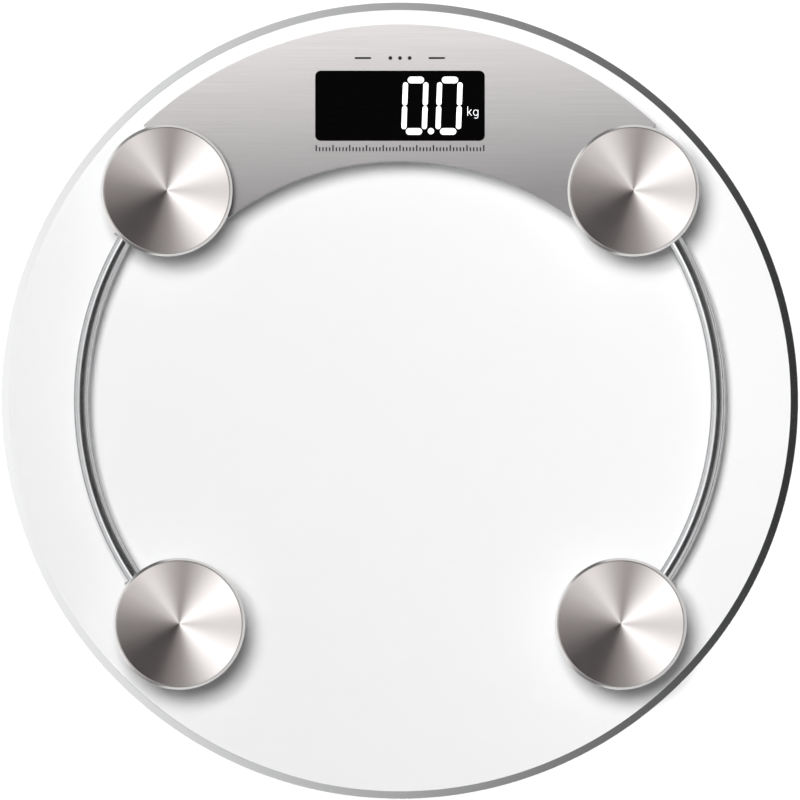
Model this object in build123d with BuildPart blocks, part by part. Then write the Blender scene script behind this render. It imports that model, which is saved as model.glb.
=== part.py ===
from build123d import *
import os
from math import asin, cos, degrees, radians, sin, sqrt

# A round glass bathroom scale, in millimetres. The origin is on the floor under the middle of
# the glass, +Z is up and +Y points to the display end. The feet at that end are the toe feet.

# Glass platform
GLASS_DIAMETER = 330.0
GLASS_THICKNESS = 6.0
GLASS_HEIGHT = 18.0  # underside above the floor
GLASS_BEVEL_WIDTH = 3.3
GLASS_BEVEL_DEPTH = 3.0
GLASS_ARRIS = 0.5

# Places of the four feet
FOOT_FROM_GLASS_EDGE = 35.0
TOE_ANGLE = 42.0
HEEL_ANGLE = 45.3

# Steel discs, their seats and the gaskets on both faces of the glass
DISC_DIAMETER = 54.6
DISC_SHOULDER = 1.4
DISC_BEVEL_WIDTH = 1.1
DISC_BEVEL_DEPTH = 0.8
DISC_LINE_DEPTH = 0.15
DISC_SHEET = 0.6
DISC_DISH = 0.4
DISC_SKIRT_GAP = 0.2
SEAT_PLATE = 1.4
SEAT_BOSS_RADIUS = 6.0
SEAT_CLEARANCE = 0.1
GLASS_HOLE_CLEARANCE = 0.5
GASKET_THICKNESS = 0.6
GASKET_WIDTH = 13.0

# Screws: thread clearance in a pilot hole, and clearance in a plain hole
PILOT_CLEARANCE = 0.1
PASS_CLEARANCE = 0.3
DISC_SCREW_RADIUS = 1.9
DISC_SCREW_LENGTH = 8.0
DISC_SCREW_HEAD_RADIUS = 3.6
DISC_SCREW_HEAD = 2.2
CELL_SCREW_RADIUS = 1.2
CELL_SCREW_LENGTH = 6.5
CELL_SCREW_HEAD_RADIUS = 2.2
CELL_SCREW_HEAD = 1.2
CASE_SCREW_RADIUS = 1.1
CASE_SCREW_LENGTH = 7.0
CASE_SCREW_HEAD_RADIUS = 2.5
CASE_SCREW_HEAD = 1.0
CROSS_LENGTH = 2.6
CROSS_WIDTH = 0.7
CROSS_DEPTH = 0.7
BOARD_SCREW_RADIUS = 0.9
BOARD_SCREW_LENGTH = 5.0
BOARD_SCREW_HEAD_RADIUS = 1.8
BOARD_SCREW_HEAD = 1.0

# Foot housings
HOUSING_CEILING = 2.0
HOUSING_WALL = 1.8
HOUSING_FLARE = 1.0
HOUSING_RIM_HEIGHT = 3.6
HOUSING_EDGE = 0.8
POST_RADIUS = 3.2
POST_RIB = 1.6

# Load cells and strain gauges
CELL_SIZE = 34.0
CELL_CORNER = 4.0
CELL_THICKNESS = 1.8
CELL_FRAME = 7.5
CELL_SLOT = 2.5
CELL_SCREW_INSET = 3.5
CELL_CLEARANCE = 0.8
GAUGE_LENGTH = 3.2
GAUGE_WIDTH = 8.0
GAUGE_HEIGHT = 0.6

# Moving feet
FOOT_CLEARANCE = 1.7
FOOT_LIP = 2.4
FOOT_PLATE = 2.6
FOOT_EDGE = 0.6
FOOT_BOSS_RADIUS = 6.0
FOOT_STEM_RADIUS = 2.3
FOOT_STEM_PROUD = 0.6
FOOT_RIBS = 6
FOOT_RIB_HEIGHT = 1.2
FOOT_RIB_THICKNESS = 1.4
NUT_RADIUS = 5.0
NUT_THICKNESS = 0.6
STEM_CLEARANCE = 0.15
NUT_CLEARANCE = 0.05
RUBBER_PROUD = 1.6
RUBBER_RECESS = 1.0
RUBBER_CLEARANCE = 0.1
RUBBER_EDGE = 0.6
RUBBER_GROOVES = 3
RUBBER_GROOVE_WIDTH = 1.2
RUBBER_GROOVE_DEPTH = 0.8

# Tubes, grommets and leads
TUBE_DIAMETER = 6.4
TUBE_WALL = 0.5
TUBE_PITCH_OFFSET = 2.1
TUBE_ENTRY = 3.0
GROMMET_WALL = 1.0
GROMMET_FLANGE = 0.8
GROMMET_PROUD = 1.0
GROMMET_CLEARANCE = 0.05
LEAD_RADIUS = 1.0
LEAD_CLEARANCE = 0.1
LEAD_SPACING = 2.6
LEAD_BEND = 4.0
LEAD_DETOUR_GAP = 2.5
PORT_CLEARANCE = 0.3

# Display housing
CASE_RIM_OFFSET = 26.0  # outer edge beyond the circle of the feet
CASE_DEPTH = 56.9
CASE_INNER_RADIUS = 120.0
CASE_END_SETBACK = 5.0
CASE_FOOT_GAP = 0.5
CASE_WALL = 1.8
CASE_TOP_WALL = 1.6
CASE_TIP_ROUND = 0.6
CASE_EDGE = 0.4
BASE_PLATE = 2.0
LIP_THICKNESS = 1.0
LIP_HEIGHT = 1.2
LIP_CLEARANCE = 0.15
CASE_BOSS_RADIUS = 3.0
CASE_BOSS_INSET = 8.0
CASE_BOSS_OUTWARD = 8.0
CASE_BOSS_ANGLE = 40.0

# Display window, display panel and board
WINDOW_WIDTH = 70.1
WINDOW_HEIGHT = 28.9
WINDOW_CORNER = 2.2
WINDOW_INSET = 33.8  # window centre from the housing's outer edge
WINDOW_CLEARANCE = 0.1
LENS_FLANGE_WIDTH = 2.0
LENS_FLANGE = 0.8
LENS_RECESS = 0.1
PANEL_WIDTH = 76.0
PANEL_HEIGHT = 36.0
PANEL_PLATE = 1.1
PANEL_LEDGE = 2.5
PANEL_CLEARANCE = 0.2
PANEL_RIB = 1.2
PANEL_RIB_HEIGHT = 2.2
BACKLIGHT_THICKNESS = 1.6
BACKLIGHT_MARGIN = 0.3
STRIP_WIDTH = 2.0
STRIP_END_MARGIN = 3.0
BOARD_HEIGHT = 36.0
BOARD_THICKNESS = 1.4
BOARD_CORNER = 2.0
BOARD_BOSS_RADIUS = 2.4
BOARD_BOSS_GAP = 2.7
BOARD_BOSS_INSET = 5.5
BOARD_BOSS_SPACING = 24.0
CHIP_RADIUS = 5.0
CHIP_HEIGHT = 1.2
CHIP_X = -26.0
SENSOR_RADIUS = 1.5
SENSOR_LENGTH = 8.0

# Coin cell, its contacts and its door
COIN_RADIUS = 10.0
COIN_HEIGHT = 3.2
COIN_CAP_INSET = 1.2
COIN_CAP_HEIGHT = 0.5
COIN_EDGE = 0.3
COIN_CLEARANCE = 0.3
COIN_DOOR_GAP = 0.2
COIN_FROM_EDGE = 13.9
BAY_WALL = 1.4
CONTACT_SHEET = 0.3
CONTACT_WIDTH = 4.0
CONTACT_GAP = 0.8
CONTACT_FOOT = 3.0
CONTACT_CLEARANCE = 0.05
CONTACT_SLOT_CLEARANCE = 0.6
DOOR_WIDTH = 24.0
DOOR_FAR_MARGIN = 2.0
DOOR_RAIL = 1.0
DOOR_LIP = 0.8
DOOR_GROOVE = 0.8
DOOR_CLEARANCE = 0.1
RIDGES = 4
RIDGE_PITCH = 1.8
RIDGE_WIDTH = 0.8
RIDGE_LENGTH = 14.0
RIDGE_HEIGHT = 0.4
RIDGE_MARGIN = 2.5

# Unit button and switch
BUTTON_X = 30.0
BUTTON_RADIUS = 4.0
BUTTON_PROUD = 0.4
BUTTON_FLOOR = 1.0
BUTTON_FLANGE = 0.8
BUTTON_FLANGE_WIDTH = 1.2
BUTTON_CLEARANCE = 0.15
BUTTON_STEM_RADIUS = 1.5
SWITCH_SIZE = 6.0
SWITCH_HEIGHT = 1.4
PLUNGER_RADIUS = 1.4
PLUNGER_PROUD = 0.7
PLUNGER_LENGTH = 1.3

# Heights of the stack at the feet and in the display housing
glass_top = GLASS_HEIGHT + GLASS_THICKNESS
seat_bottom = glass_top + GASKET_THICKNESS
seat_top = seat_bottom + SEAT_PLATE
disc_top = seat_top + DISC_SHEET
housing_top = GLASS_HEIGHT - GASKET_THICKNESS
ceiling = housing_top - HOUSING_CEILING
case_top = GLASS_HEIGHT
case_ceiling = case_top - CASE_TOP_WALL
panel_top = case_ceiling - LENS_FLANGE
panel_middle = panel_top - PANEL_PLATE
panel_bottom = panel_middle - PANEL_PLATE
board_top = panel_bottom - BACKLIGHT_THICKNESS
board_bottom = board_top - BOARD_THICKNESS
coin_top = board_bottom - CONTACT_GAP
coin_bottom = coin_top - COIN_HEIGHT
groove_top = coin_bottom - COIN_DOOR_GAP
groove_bottom = groove_top - DOOR_GROOVE
case_bottom = groove_bottom - DOOR_LIP
base_top = case_bottom + BASE_PLATE
lead_height = board_bottom - LEAD_CLEARANCE - LEAD_RADIUS
cell_top = lead_height - LEAD_RADIUS - LEAD_CLEARANCE
cell_bottom = cell_top - CELL_THICKNESS
foot_bottom = RUBBER_PROUD
foot_top = foot_bottom + FOOT_PLATE

# Radii and plan distances that follow from the fits
foot_pitch_radius = GLASS_DIAMETER / 2 - FOOT_FROM_GLASS_EDGE
disc_radius = DISC_DIAMETER / 2
disc_face_radius = disc_radius - DISC_SHOULDER
seat_radius = disc_face_radius - SEAT_CLEARANCE
glass_hole_radius = SEAT_BOSS_RADIUS + GLASS_HOLE_CLEARANCE
cell_corner_reach = CELL_SIZE / 2 * sqrt(2) - CELL_CORNER * (sqrt(2) - 1)
housing_inner_radius = cell_corner_reach + CELL_CLEARANCE
housing_rim_radius = housing_inner_radius + HOUSING_WALL
housing_radius = housing_rim_radius + HOUSING_FLARE
post_place = CELL_SIZE / 2 - CELL_SCREW_INSET
slot_reach = CELL_SIZE / 2 - CELL_FRAME
tongue_reach = slot_reach - CELL_SLOT
foot_radius = housing_inner_radius - FOOT_CLEARANCE
rubber_recess_radius = foot_radius - FOOT_LIP
rubber_radius = rubber_recess_radius - RUBBER_CLEARANCE
gauge_place = NUT_RADIUS + PASS_CLEARANCE + GAUGE_LENGTH / 2
tube_radius = TUBE_DIAMETER / 2
tube_path_radius = foot_pitch_radius + TUBE_PITCH_OFFSET
tube_end = CELL_SIZE / 2 + TUBE_ENTRY
grommet_radius = tube_radius + GROMMET_WALL
grommet_inner_end = housing_inner_radius - GROMMET_PROUD
grommet_outer_end = housing_radius + GROMMET_PROUD
case_outer_radius = foot_pitch_radius + CASE_RIM_OFFSET
case_inner_edge = case_outer_radius - CASE_DEPTH
case_inner_centre = case_inner_edge - CASE_INNER_RADIUS
notch_radius = housing_radius + CASE_FOOT_GAP
window_y = case_outer_radius - WINDOW_INSET
coin_y = case_inner_edge + COIN_FROM_EDGE
panel_rib_reach = PANEL_WIDTH / 2 + PANEL_CLEARANCE + PANEL_RIB
board_boss_x = panel_rib_reach + BOARD_BOSS_GAP + BOARD_BOSS_RADIUS
board_width = 2 * (board_boss_x + BOARD_BOSS_INSET)
sensor_x = panel_rib_reach + PASS_CLEARANCE + SENSOR_RADIUS
bay_radius = COIN_RADIUS + COIN_CLEARANCE
door_far_y = coin_y + COIN_RADIUS + DOOR_FAR_MARGIN


class Foot:
    """One corner of the scale. Its local directions are along, towards its tube, and outward."""

    def __init__(self, name, angle, tube_turn):
        self.name = name
        self.angle = angle
        self.tube_turn = tube_turn
        self.outward = Vector(cos(radians(angle)), sin(radians(angle)), 0)
        self.along = Vector(-self.outward.Y, self.outward.X, 0) * tube_turn
        self.centre = self.outward * foot_pitch_radius
        self.axis = Axis(self.centre, (0, 0, 1))

    def point(self, along, outward, height):
        """A point by its distances along and outward from the middle of the foot."""
        return self.centre + self.along * along + self.outward * outward + Vector(0, 0, height)

    def level(self, height):
        """A level plane at this foot, its x along the tube."""
        return Plane(origin=self.point(0, 0, height), x_dir=self.along, z_dir=(0, 0, 1))

    def upright(self):
        """The upright plane through the foot's axis, for profiles that turn about it."""
        return Plane(origin=self.centre, x_dir=self.along, z_dir=self.along.cross(Vector(0, 0, 1)))

    def tube_angle(self, distance):
        """The angle about the glass axis of the tube's line, this far along from the foot."""
        return self.angle + self.tube_turn * degrees(asin(distance / tube_path_radius))


toe_right = Foot("toe_right", TOE_ANGLE, -1)
toe_left = Foot("toe_left", 180 - TOE_ANGLE, 1)
heel_right = Foot("heel_right", -HEEL_ANGLE, 1)
heel_left = Foot("heel_left", 180 + HEEL_ANGLE, -1)
FEET = [toe_right, toe_left, heel_right, heel_left]
TOES = [toe_right, toe_left]
SIDES = [("right", 1, toe_right, heel_right), ("left", -1, toe_left, heel_left)]

os.makedirs("parts", exist_ok=True)


def save(piece, name):
    """Label a finished piece and write its file."""
    piece.part.label = name
    export_step(piece.part, f"parts/{name}.step")


def ring_profile(inner, outer, bottom, top):
    """A square profile, for a ring that turns about the profile's own upright axis."""
    with BuildLine() as outline:
        Polyline((inner, bottom), (outer, bottom), (outer, top), (inner, top), close=True)
    make_face(outline.edges())


def screw_profile(radius, length, head_radius, head, seat):
    """Half of a pan head screw that points up. Its head sits under the height seat."""
    with BuildLine() as outline:
        Polyline(
            (0, seat + length),
            (radius, seat + length),
            (radius, seat),
            (head_radius, seat),
            (head_radius, seat - head / 2),
            (head_radius - head / 2, seat - head),
            (0, seat - head),
            close=True,
        )
    make_face(outline.edges())


# Glass platform: toughened plate with a ground bevel on its top edge and four holes for the discs.
with BuildPart() as glass_platform:
    with BuildSketch(Plane.XZ):
        with BuildLine():
            Polyline(
                (0, GLASS_HEIGHT),
                (GLASS_DIAMETER / 2 - GLASS_ARRIS, GLASS_HEIGHT),
                (GLASS_DIAMETER / 2, GLASS_HEIGHT + GLASS_ARRIS),
                (GLASS_DIAMETER / 2, glass_top - GLASS_BEVEL_DEPTH),
                (GLASS_DIAMETER / 2 - GLASS_BEVEL_WIDTH, glass_top),
                (0, glass_top),
                close=True,
            )
        make_face()
    revolve(axis=Axis.Z)
    with BuildSketch(Plane.XY.offset(GLASS_HEIGHT)):
        with Locations(*[foot.centre for foot in FEET]):
            Circle(glass_hole_radius)
    extrude(amount=GLASS_THICKNESS, mode=Mode.SUBTRACT)
save(glass_platform, "glass_platform")

for foot in FEET:
    # Steel disc: a drawn cap, a little dished, with a turned line and a polished bevel round its face
    # and a skirt down to the glass.
    with BuildPart() as steel_disc:
        with BuildSketch(foot.upright()):
            inner_radius = disc_radius - DISC_SHEET
            bevel_radius = disc_radius - DISC_BEVEL_WIDTH
            line_radius = (disc_face_radius + bevel_radius) / 2
            skirt_bottom = glass_top + DISC_SKIRT_GAP
            with BuildLine():
                Polyline(
                    (0, disc_top - DISC_DISH),
                    (disc_face_radius, disc_top),
                    (line_radius, disc_top - DISC_LINE_DEPTH),
                    (bevel_radius, disc_top),
                    (disc_radius, disc_top - DISC_BEVEL_DEPTH),
                    (disc_radius, skirt_bottom),
                    (inner_radius, skirt_bottom),
                    (inner_radius, disc_top - DISC_SHOULDER),
                    (disc_face_radius, seat_top),
                    (0, seat_top - DISC_DISH),
                    close=True,
                )
            make_face()
        revolve(axis=foot.axis)
    save(steel_disc, f"steel_disc_{foot.name}")

    # Disc seat: moulded plate that fills the steel disc, with a boss down through the glass.
    with BuildPart() as disc_seat:
        with BuildSketch(foot.upright()):
            pilot_radius = DISC_SCREW_RADIUS + PILOT_CLEARANCE
            pilot_top = ceiling + DISC_SCREW_LENGTH + PASS_CLEARANCE
            dish_rise = DISC_DISH * seat_radius / disc_face_radius
            with BuildLine():
                Polyline(
                    (0, seat_top - DISC_DISH),
                    (seat_radius, seat_top - DISC_DISH + dish_rise),
                    (seat_radius, seat_bottom),
                    (SEAT_BOSS_RADIUS, seat_bottom),
                    (SEAT_BOSS_RADIUS, housing_top),
                    (pilot_radius, housing_top),
                    (pilot_radius, pilot_top),
                    (0, pilot_top),
                    close=True,
                )
            make_face()
        revolve(axis=foot.axis)
    save(disc_seat, f"disc_seat_{foot.name}")

# Gaskets: soft rings that keep the seats and the housings off the glass.
for name, height in (("disc_gaskets", glass_top), ("foot_gaskets", housing_top)):
    with BuildPart() as gaskets:
        for foot in FEET:
            with BuildSketch(foot.level(height)):
                Circle(glass_hole_radius + GASKET_WIDTH)
                Circle(glass_hole_radius, mode=Mode.SUBTRACT)
        extrude(amount=GASKET_THICKNESS)
    save(gaskets, name)

# Disc screws: each goes up through a housing's ceiling into its disc seat.
with BuildPart() as disc_screws:
    for foot in FEET:
        with BuildSketch(foot.upright()):
            screw_profile(
                DISC_SCREW_RADIUS, DISC_SCREW_LENGTH, DISC_SCREW_HEAD_RADIUS, DISC_SCREW_HEAD, ceiling
            )
        revolve(axis=foot.axis)
save(disc_screws, "disc_screws")


def tube_bore(foot, radius, start, end, mode):
    """A bent round bar on the tube's line, between two distances along from the foot."""
    first = foot.tube_angle(start)
    outward = Vector(cos(radians(first)), sin(radians(first)), 0)
    section_plane = Plane(
        origin=outward * tube_path_radius + Vector(0, 0, lead_height),
        x_dir=outward,
        z_dir=outward.cross(Vector(0, 0, 1)),
    )
    turn = foot.tube_angle(end) - first
    with BuildSketch(section_plane) as section:
        Circle(radius)
    axis = Axis.Z if turn > 0 else -Axis.Z
    revolve(section.sketch, axis=axis, revolution_arc=abs(turn), mode=mode)


def lead_port(foot):
    """A slot for two leads through the wall between a toe foot and the display housing."""
    start = housing_inner_radius - HOUSING_WALL
    end = notch_radius + 2 * CASE_WALL
    plane = Plane(origin=foot.point(-start, 0, lead_height), x_dir=foot.outward, z_dir=-foot.along)
    height = 2 * (LEAD_RADIUS + PORT_CLEARANCE)
    with BuildSketch(plane) as slot:
        SlotOverall(LEAD_SPACING + height, height)
    extrude(slot.sketch, amount=end - start, mode=Mode.SUBTRACT)


post_places = [(x, y) for x in (-post_place, post_place) for y in (-post_place, post_place)]
cell_screw_places = [(-post_place, -post_place), (post_place, post_place)]

for foot in FEET:
    # Foot housing: a flared cup under the glass, with posts and ribs that press on the load cell.
    with BuildPart() as foot_housing:
        with BuildSketch(foot.upright()):
            screw_hole = DISC_SCREW_RADIUS + PASS_CLEARANCE
            with BuildLine():
                Polyline(
                    (screw_hole, ceiling),
                    (housing_radius - HOUSING_WALL, ceiling),
                    (housing_inner_radius, HOUSING_RIM_HEIGHT),
                    (housing_rim_radius, HOUSING_RIM_HEIGHT),
                    (housing_radius, housing_top - HOUSING_EDGE),
                    (housing_radius - HOUSING_EDGE, housing_top),
                    (screw_hole, housing_top),
                    close=True,
                )
            make_face()
        revolve(axis=foot.axis)
        with BuildSketch(foot.level(cell_top)):
            with Locations(*post_places):
                Circle(POST_RADIUS)
        extrude(amount=ceiling - cell_top)
        with BuildSketch(foot.level(cell_top + POST_RIB)):
            rib_reach = housing_inner_radius + HOUSING_WALL / 2 - post_place * sqrt(2)
            with PolarLocations(post_place * sqrt(2), len(post_places), start_angle=45):
                Rectangle(rib_reach, POST_RIB, align=(Align.MIN, Align.CENTER))
        extrude(amount=ceiling - cell_top - POST_RIB)
        with BuildSketch(foot.level(cell_top)):
            with Locations(*cell_screw_places):
                Circle(CELL_SCREW_RADIUS + PILOT_CLEARANCE)
        extrude(amount=CELL_SCREW_LENGTH - CELL_THICKNESS + PASS_CLEARANCE, mode=Mode.SUBTRACT)
        tube_bore(foot, grommet_radius, tube_end, grommet_outer_end, Mode.SUBTRACT)
        if foot in TOES:
            lead_port(foot)
    save(foot_housing, f"foot_housing_{foot.name}")

    # Load cell: a stamped spring steel plate whose tongue carries the foot and bends under load.
    with BuildPart() as load_cell:
        with BuildSketch(foot.level(cell_bottom)):
            RectangleRounded(CELL_SIZE, CELL_SIZE, CELL_CORNER)
            Rectangle(2 * slot_reach, 2 * slot_reach, mode=Mode.SUBTRACT)
            with Locations((slot_reach, 0)):
                Rectangle(slot_reach + tongue_reach, 2 * tongue_reach, align=(Align.MAX, Align.CENTER))
            Circle(FOOT_STEM_RADIUS + STEM_CLEARANCE, mode=Mode.SUBTRACT)
            with Locations(*cell_screw_places):
                Circle(CELL_SCREW_RADIUS + PASS_CLEARANCE, mode=Mode.SUBTRACT)
        extrude(amount=CELL_THICKNESS)
    save(load_cell, f"load_cell_{foot.name}")

    # Foot base: moulded plate with a ribbed boss under the tongue and a stem through it.
    with BuildPart() as foot_base:
        with BuildSketch(foot.upright()):
            stem_top = cell_top + NUT_THICKNESS + FOOT_STEM_PROUD
            with BuildLine():
                Polyline(
                    (0, foot_bottom + RUBBER_RECESS),
                    (rubber_recess_radius, foot_bottom + RUBBER_RECESS),
                    (rubber_recess_radius, foot_bottom),
                    (foot_radius - FOOT_EDGE, foot_bottom),
                    (foot_radius, foot_bottom + FOOT_EDGE),
                    (foot_radius, foot_top),
                    (FOOT_BOSS_RADIUS, foot_top),
                    (FOOT_BOSS_RADIUS, cell_bottom),
                    (FOOT_STEM_RADIUS, cell_bottom),
                    (FOOT_STEM_RADIUS, stem_top),
                    (0, stem_top),
                    close=True,
                )
            make_face()
        revolve(axis=foot.axis)
        with BuildSketch(foot.level(foot_top)):
            with PolarLocations(0, FOOT_RIBS):
                Rectangle(rubber_recess_radius, FOOT_RIB_THICKNESS, align=(Align.MIN, Align.CENTER))
        extrude(amount=FOOT_RIB_HEIGHT)
    save(foot_base, f"foot_base_{foot.name}")

    # Push nut: a spring steel ring pressed on the stem, above the tongue.
    with BuildPart() as push_nut:
        with BuildSketch(foot.upright()):
            ring_profile(FOOT_STEM_RADIUS + NUT_CLEARANCE, NUT_RADIUS, cell_top, cell_top + NUT_THICKNESS)
        revolve(axis=foot.axis)
    save(push_nut, f"push_nut_{foot.name}")

    # Rubber foot: a disc set in the foot base, with round grooves for grip.
    with BuildPart() as rubber_foot:
        with BuildSketch(foot.upright()):
            with BuildLine():
                Polyline(
                    (0, 0),
                    (rubber_radius - RUBBER_EDGE, 0),
                    (rubber_radius, RUBBER_EDGE),
                    (rubber_radius, foot_bottom + RUBBER_RECESS),
                    (0, foot_bottom + RUBBER_RECESS),
                    close=True,
                )
            make_face()
        revolve(axis=foot.axis)
        with BuildSketch(foot.level(0)):
            for groove in range(1, RUBBER_GROOVES + 1):
                groove_radius = rubber_radius * groove / (RUBBER_GROOVES + 1)
                Circle(groove_radius + RUBBER_GROOVE_WIDTH / 2)
                Circle(groove_radius - RUBBER_GROOVE_WIDTH / 2, mode=Mode.SUBTRACT)
        extrude(amount=RUBBER_GROOVE_DEPTH, mode=Mode.SUBTRACT)
    save(rubber_foot, f"rubber_foot_{foot.name}")

# Strain gauges: a small sealed block on the root of each tongue.
with BuildPart() as strain_gauges:
    for foot in FEET:
        with BuildSketch(foot.level(cell_top)):
            with Locations((gauge_place, 0)):
                Rectangle(GAUGE_LENGTH, GAUGE_WIDTH)
    extrude(amount=GAUGE_HEIGHT)
save(strain_gauges, "strain_gauges")

# Load cell screws: two from below through each cell's frame into the posts.
with BuildPart() as load_cell_screws:
    for foot in FEET:
        for place in cell_screw_places:
            corner = foot.level(0).from_local_coords((*place, 0))
            with BuildSketch(Plane(origin=corner, x_dir=foot.along, z_dir=foot.upright().z_dir)):
                screw_profile(
                    CELL_SCREW_RADIUS, CELL_SCREW_LENGTH, CELL_SCREW_HEAD_RADIUS, CELL_SCREW_HEAD,
                    cell_bottom,
                )
            revolve(axis=Axis(corner, (0, 0, 1)))
save(load_cell_screws, "load_cell_screws")

# Grommets: soft bushes with an outer flange, where the tubes enter the foot housings.
with BuildPart() as tube_grommets:
    for foot in FEET:
        flange_start = grommet_outer_end - GROMMET_FLANGE
        tube_bore(foot, grommet_radius - GROMMET_CLEARANCE, grommet_inner_end, flange_start, Mode.ADD)
        tube_bore(foot, grommet_radius + GROMMET_WALL, flange_start, grommet_outer_end, Mode.ADD)
    for foot in FEET:
        tube_bore(foot, tube_radius + GROMMET_CLEARANCE, tube_end, 2 * housing_radius, Mode.SUBTRACT)
save(tube_grommets, "tube_grommets")

for side, hand, toe, heel in SIDES:
    heel_end = heel.tube_angle(tube_end)
    toe_end = toe.tube_angle(tube_end)
    turn = toe_end - heel_end

    # Tube: bright plated steel tube bent to an arc, from the heel foot to the toe foot.
    with BuildPart() as tube:
        with BuildLine() as tube_line:
            CenterArc((0, 0, lead_height), tube_path_radius, heel_end, turn)
        with BuildSketch(Plane(origin=tube_line.line @ 0, z_dir=tube_line.line % 0)):
            Circle(tube_radius)
            Circle(tube_radius - TUBE_WALL, mode=Mode.SUBTRACT)
        sweep()
    save(tube, f"tube_{side}")

    # Heel lead: from the heel cell through the tube, round the toe foot's stem and to the board.
    detour = NUT_RADIUS + LEAD_DETOUR_GAP + LEAD_RADIUS
    inner_turn = post_place - POST_RADIUS
    port_out = notch_radius + 2 * CASE_WALL
    solder_x = hand * (board_boss_x - BOARD_BOSS_RADIUS)
    midway_x = hand * (board_width / 2 + BOARD_BOSS_INSET)
    heel_pad_y = window_y - LEAD_RADIUS
    toe_pad_y = heel_pad_y - LEAD_SPACING
    with BuildPart() as heel_lead:
        with BuildLine() as heel_route:
            bend = CenterArc((0, 0, lead_height), tube_path_radius, heel_end, turn)
            run_in = tube_end - gauge_place - GAUGE_LENGTH / 2 - PASS_CLEARANCE
            Line((bend @ 0) - (bend % 0) * run_in, bend @ 0)
            FilletPolyline(
                bend @ 1,
                (bend @ 1) + (bend % 1) * TUBE_ENTRY,
                toe.point(inner_turn, detour, lead_height),
                toe.point(-inner_turn, detour, lead_height),
                toe.point(-housing_inner_radius + HOUSING_WALL, LEAD_SPACING / 2, lead_height),
                toe.point(-port_out, LEAD_SPACING / 2, lead_height),
                Vector(midway_x, heel_pad_y, lead_height),
                Vector(solder_x, heel_pad_y, lead_height),
                radius=LEAD_BEND,
            )
        with BuildSketch(Plane(origin=heel_route.line @ 0, z_dir=heel_route.line % 0)):
            Circle(LEAD_RADIUS)
        sweep()
    save(heel_lead, f"heel_lead_{side}")

    # Toe lead: from the toe cell straight out of its housing to the board.
    with BuildPart() as toe_lead:
        with BuildLine() as toe_route:
            gauge_side = GAUGE_WIDTH / 2 + PASS_CLEARANCE + LEAD_RADIUS
            FilletPolyline(
                toe.point(gauge_place + LEAD_RADIUS, -gauge_side, lead_height),
                toe.point(LEAD_SPACING, -detour, lead_height),
                toe.point(-inner_turn, -detour, lead_height),
                toe.point(-housing_inner_radius + HOUSING_WALL, -LEAD_SPACING / 2, lead_height),
                toe.point(-port_out, -LEAD_SPACING / 2, lead_height),
                Vector(midway_x, toe_pad_y, lead_height),
                Vector(solder_x, toe_pad_y, lead_height),
                radius=LEAD_BEND,
            )
        with BuildSketch(Plane(origin=toe_route.line @ 0, z_dir=toe_route.line % 0)):
            Circle(LEAD_RADIUS)
        sweep()
    save(toe_lead, f"toe_lead_{side}")


def case_outline(inset):
    """The housing's crescent, drawn in by inset: a wedge between the toe feet, cut by four circles."""
    end = radians(TOE_ANGLE + CASE_END_SETBACK)
    tip_y = inset / cos(end)
    reach = 2 * case_outer_radius
    with BuildLine() as wedge:
        Polyline(
            (0, tip_y),
            (reach * cos(end), tip_y + reach * sin(end)),
            (-reach * cos(end), tip_y + reach * sin(end)),
            close=True,
        )
    make_face(wedge.edges())
    Circle(case_outer_radius - inset, mode=Mode.INTERSECT)
    with Locations((0, case_inner_centre)):
        Circle(CASE_INNER_RADIUS + inset, mode=Mode.SUBTRACT)
    with Locations(*[toe.centre for toe in TOES]):
        Circle(notch_radius + inset, mode=Mode.SUBTRACT)


lip_from_foot = notch_radius + CASE_WALL + LIP_CLEARANCE + LIP_THICKNESS
boss_from_foot = lip_from_foot + PASS_CLEARANCE + CASE_BOSS_RADIUS
boss_back = boss_from_foot * cos(radians(CASE_BOSS_ANGLE))
boss_inward = boss_from_foot * sin(radians(CASE_BOSS_ANGLE))
case_boss_places = [Vector(0, case_outer_radius - CASE_BOSS_INSET, 0)]
for toe in TOES:
    case_boss_places.append(toe.point(-boss_from_foot, CASE_BOSS_OUTWARD, 0))
    case_boss_places.append(toe.point(-boss_back, -boss_inward, 0))
board_boss_places = [
    (x, window_y + y)
    for x in (-board_boss_x, board_boss_x)
    for y in (-BOARD_BOSS_SPACING / 2, BOARD_BOSS_SPACING / 2)
]

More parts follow.
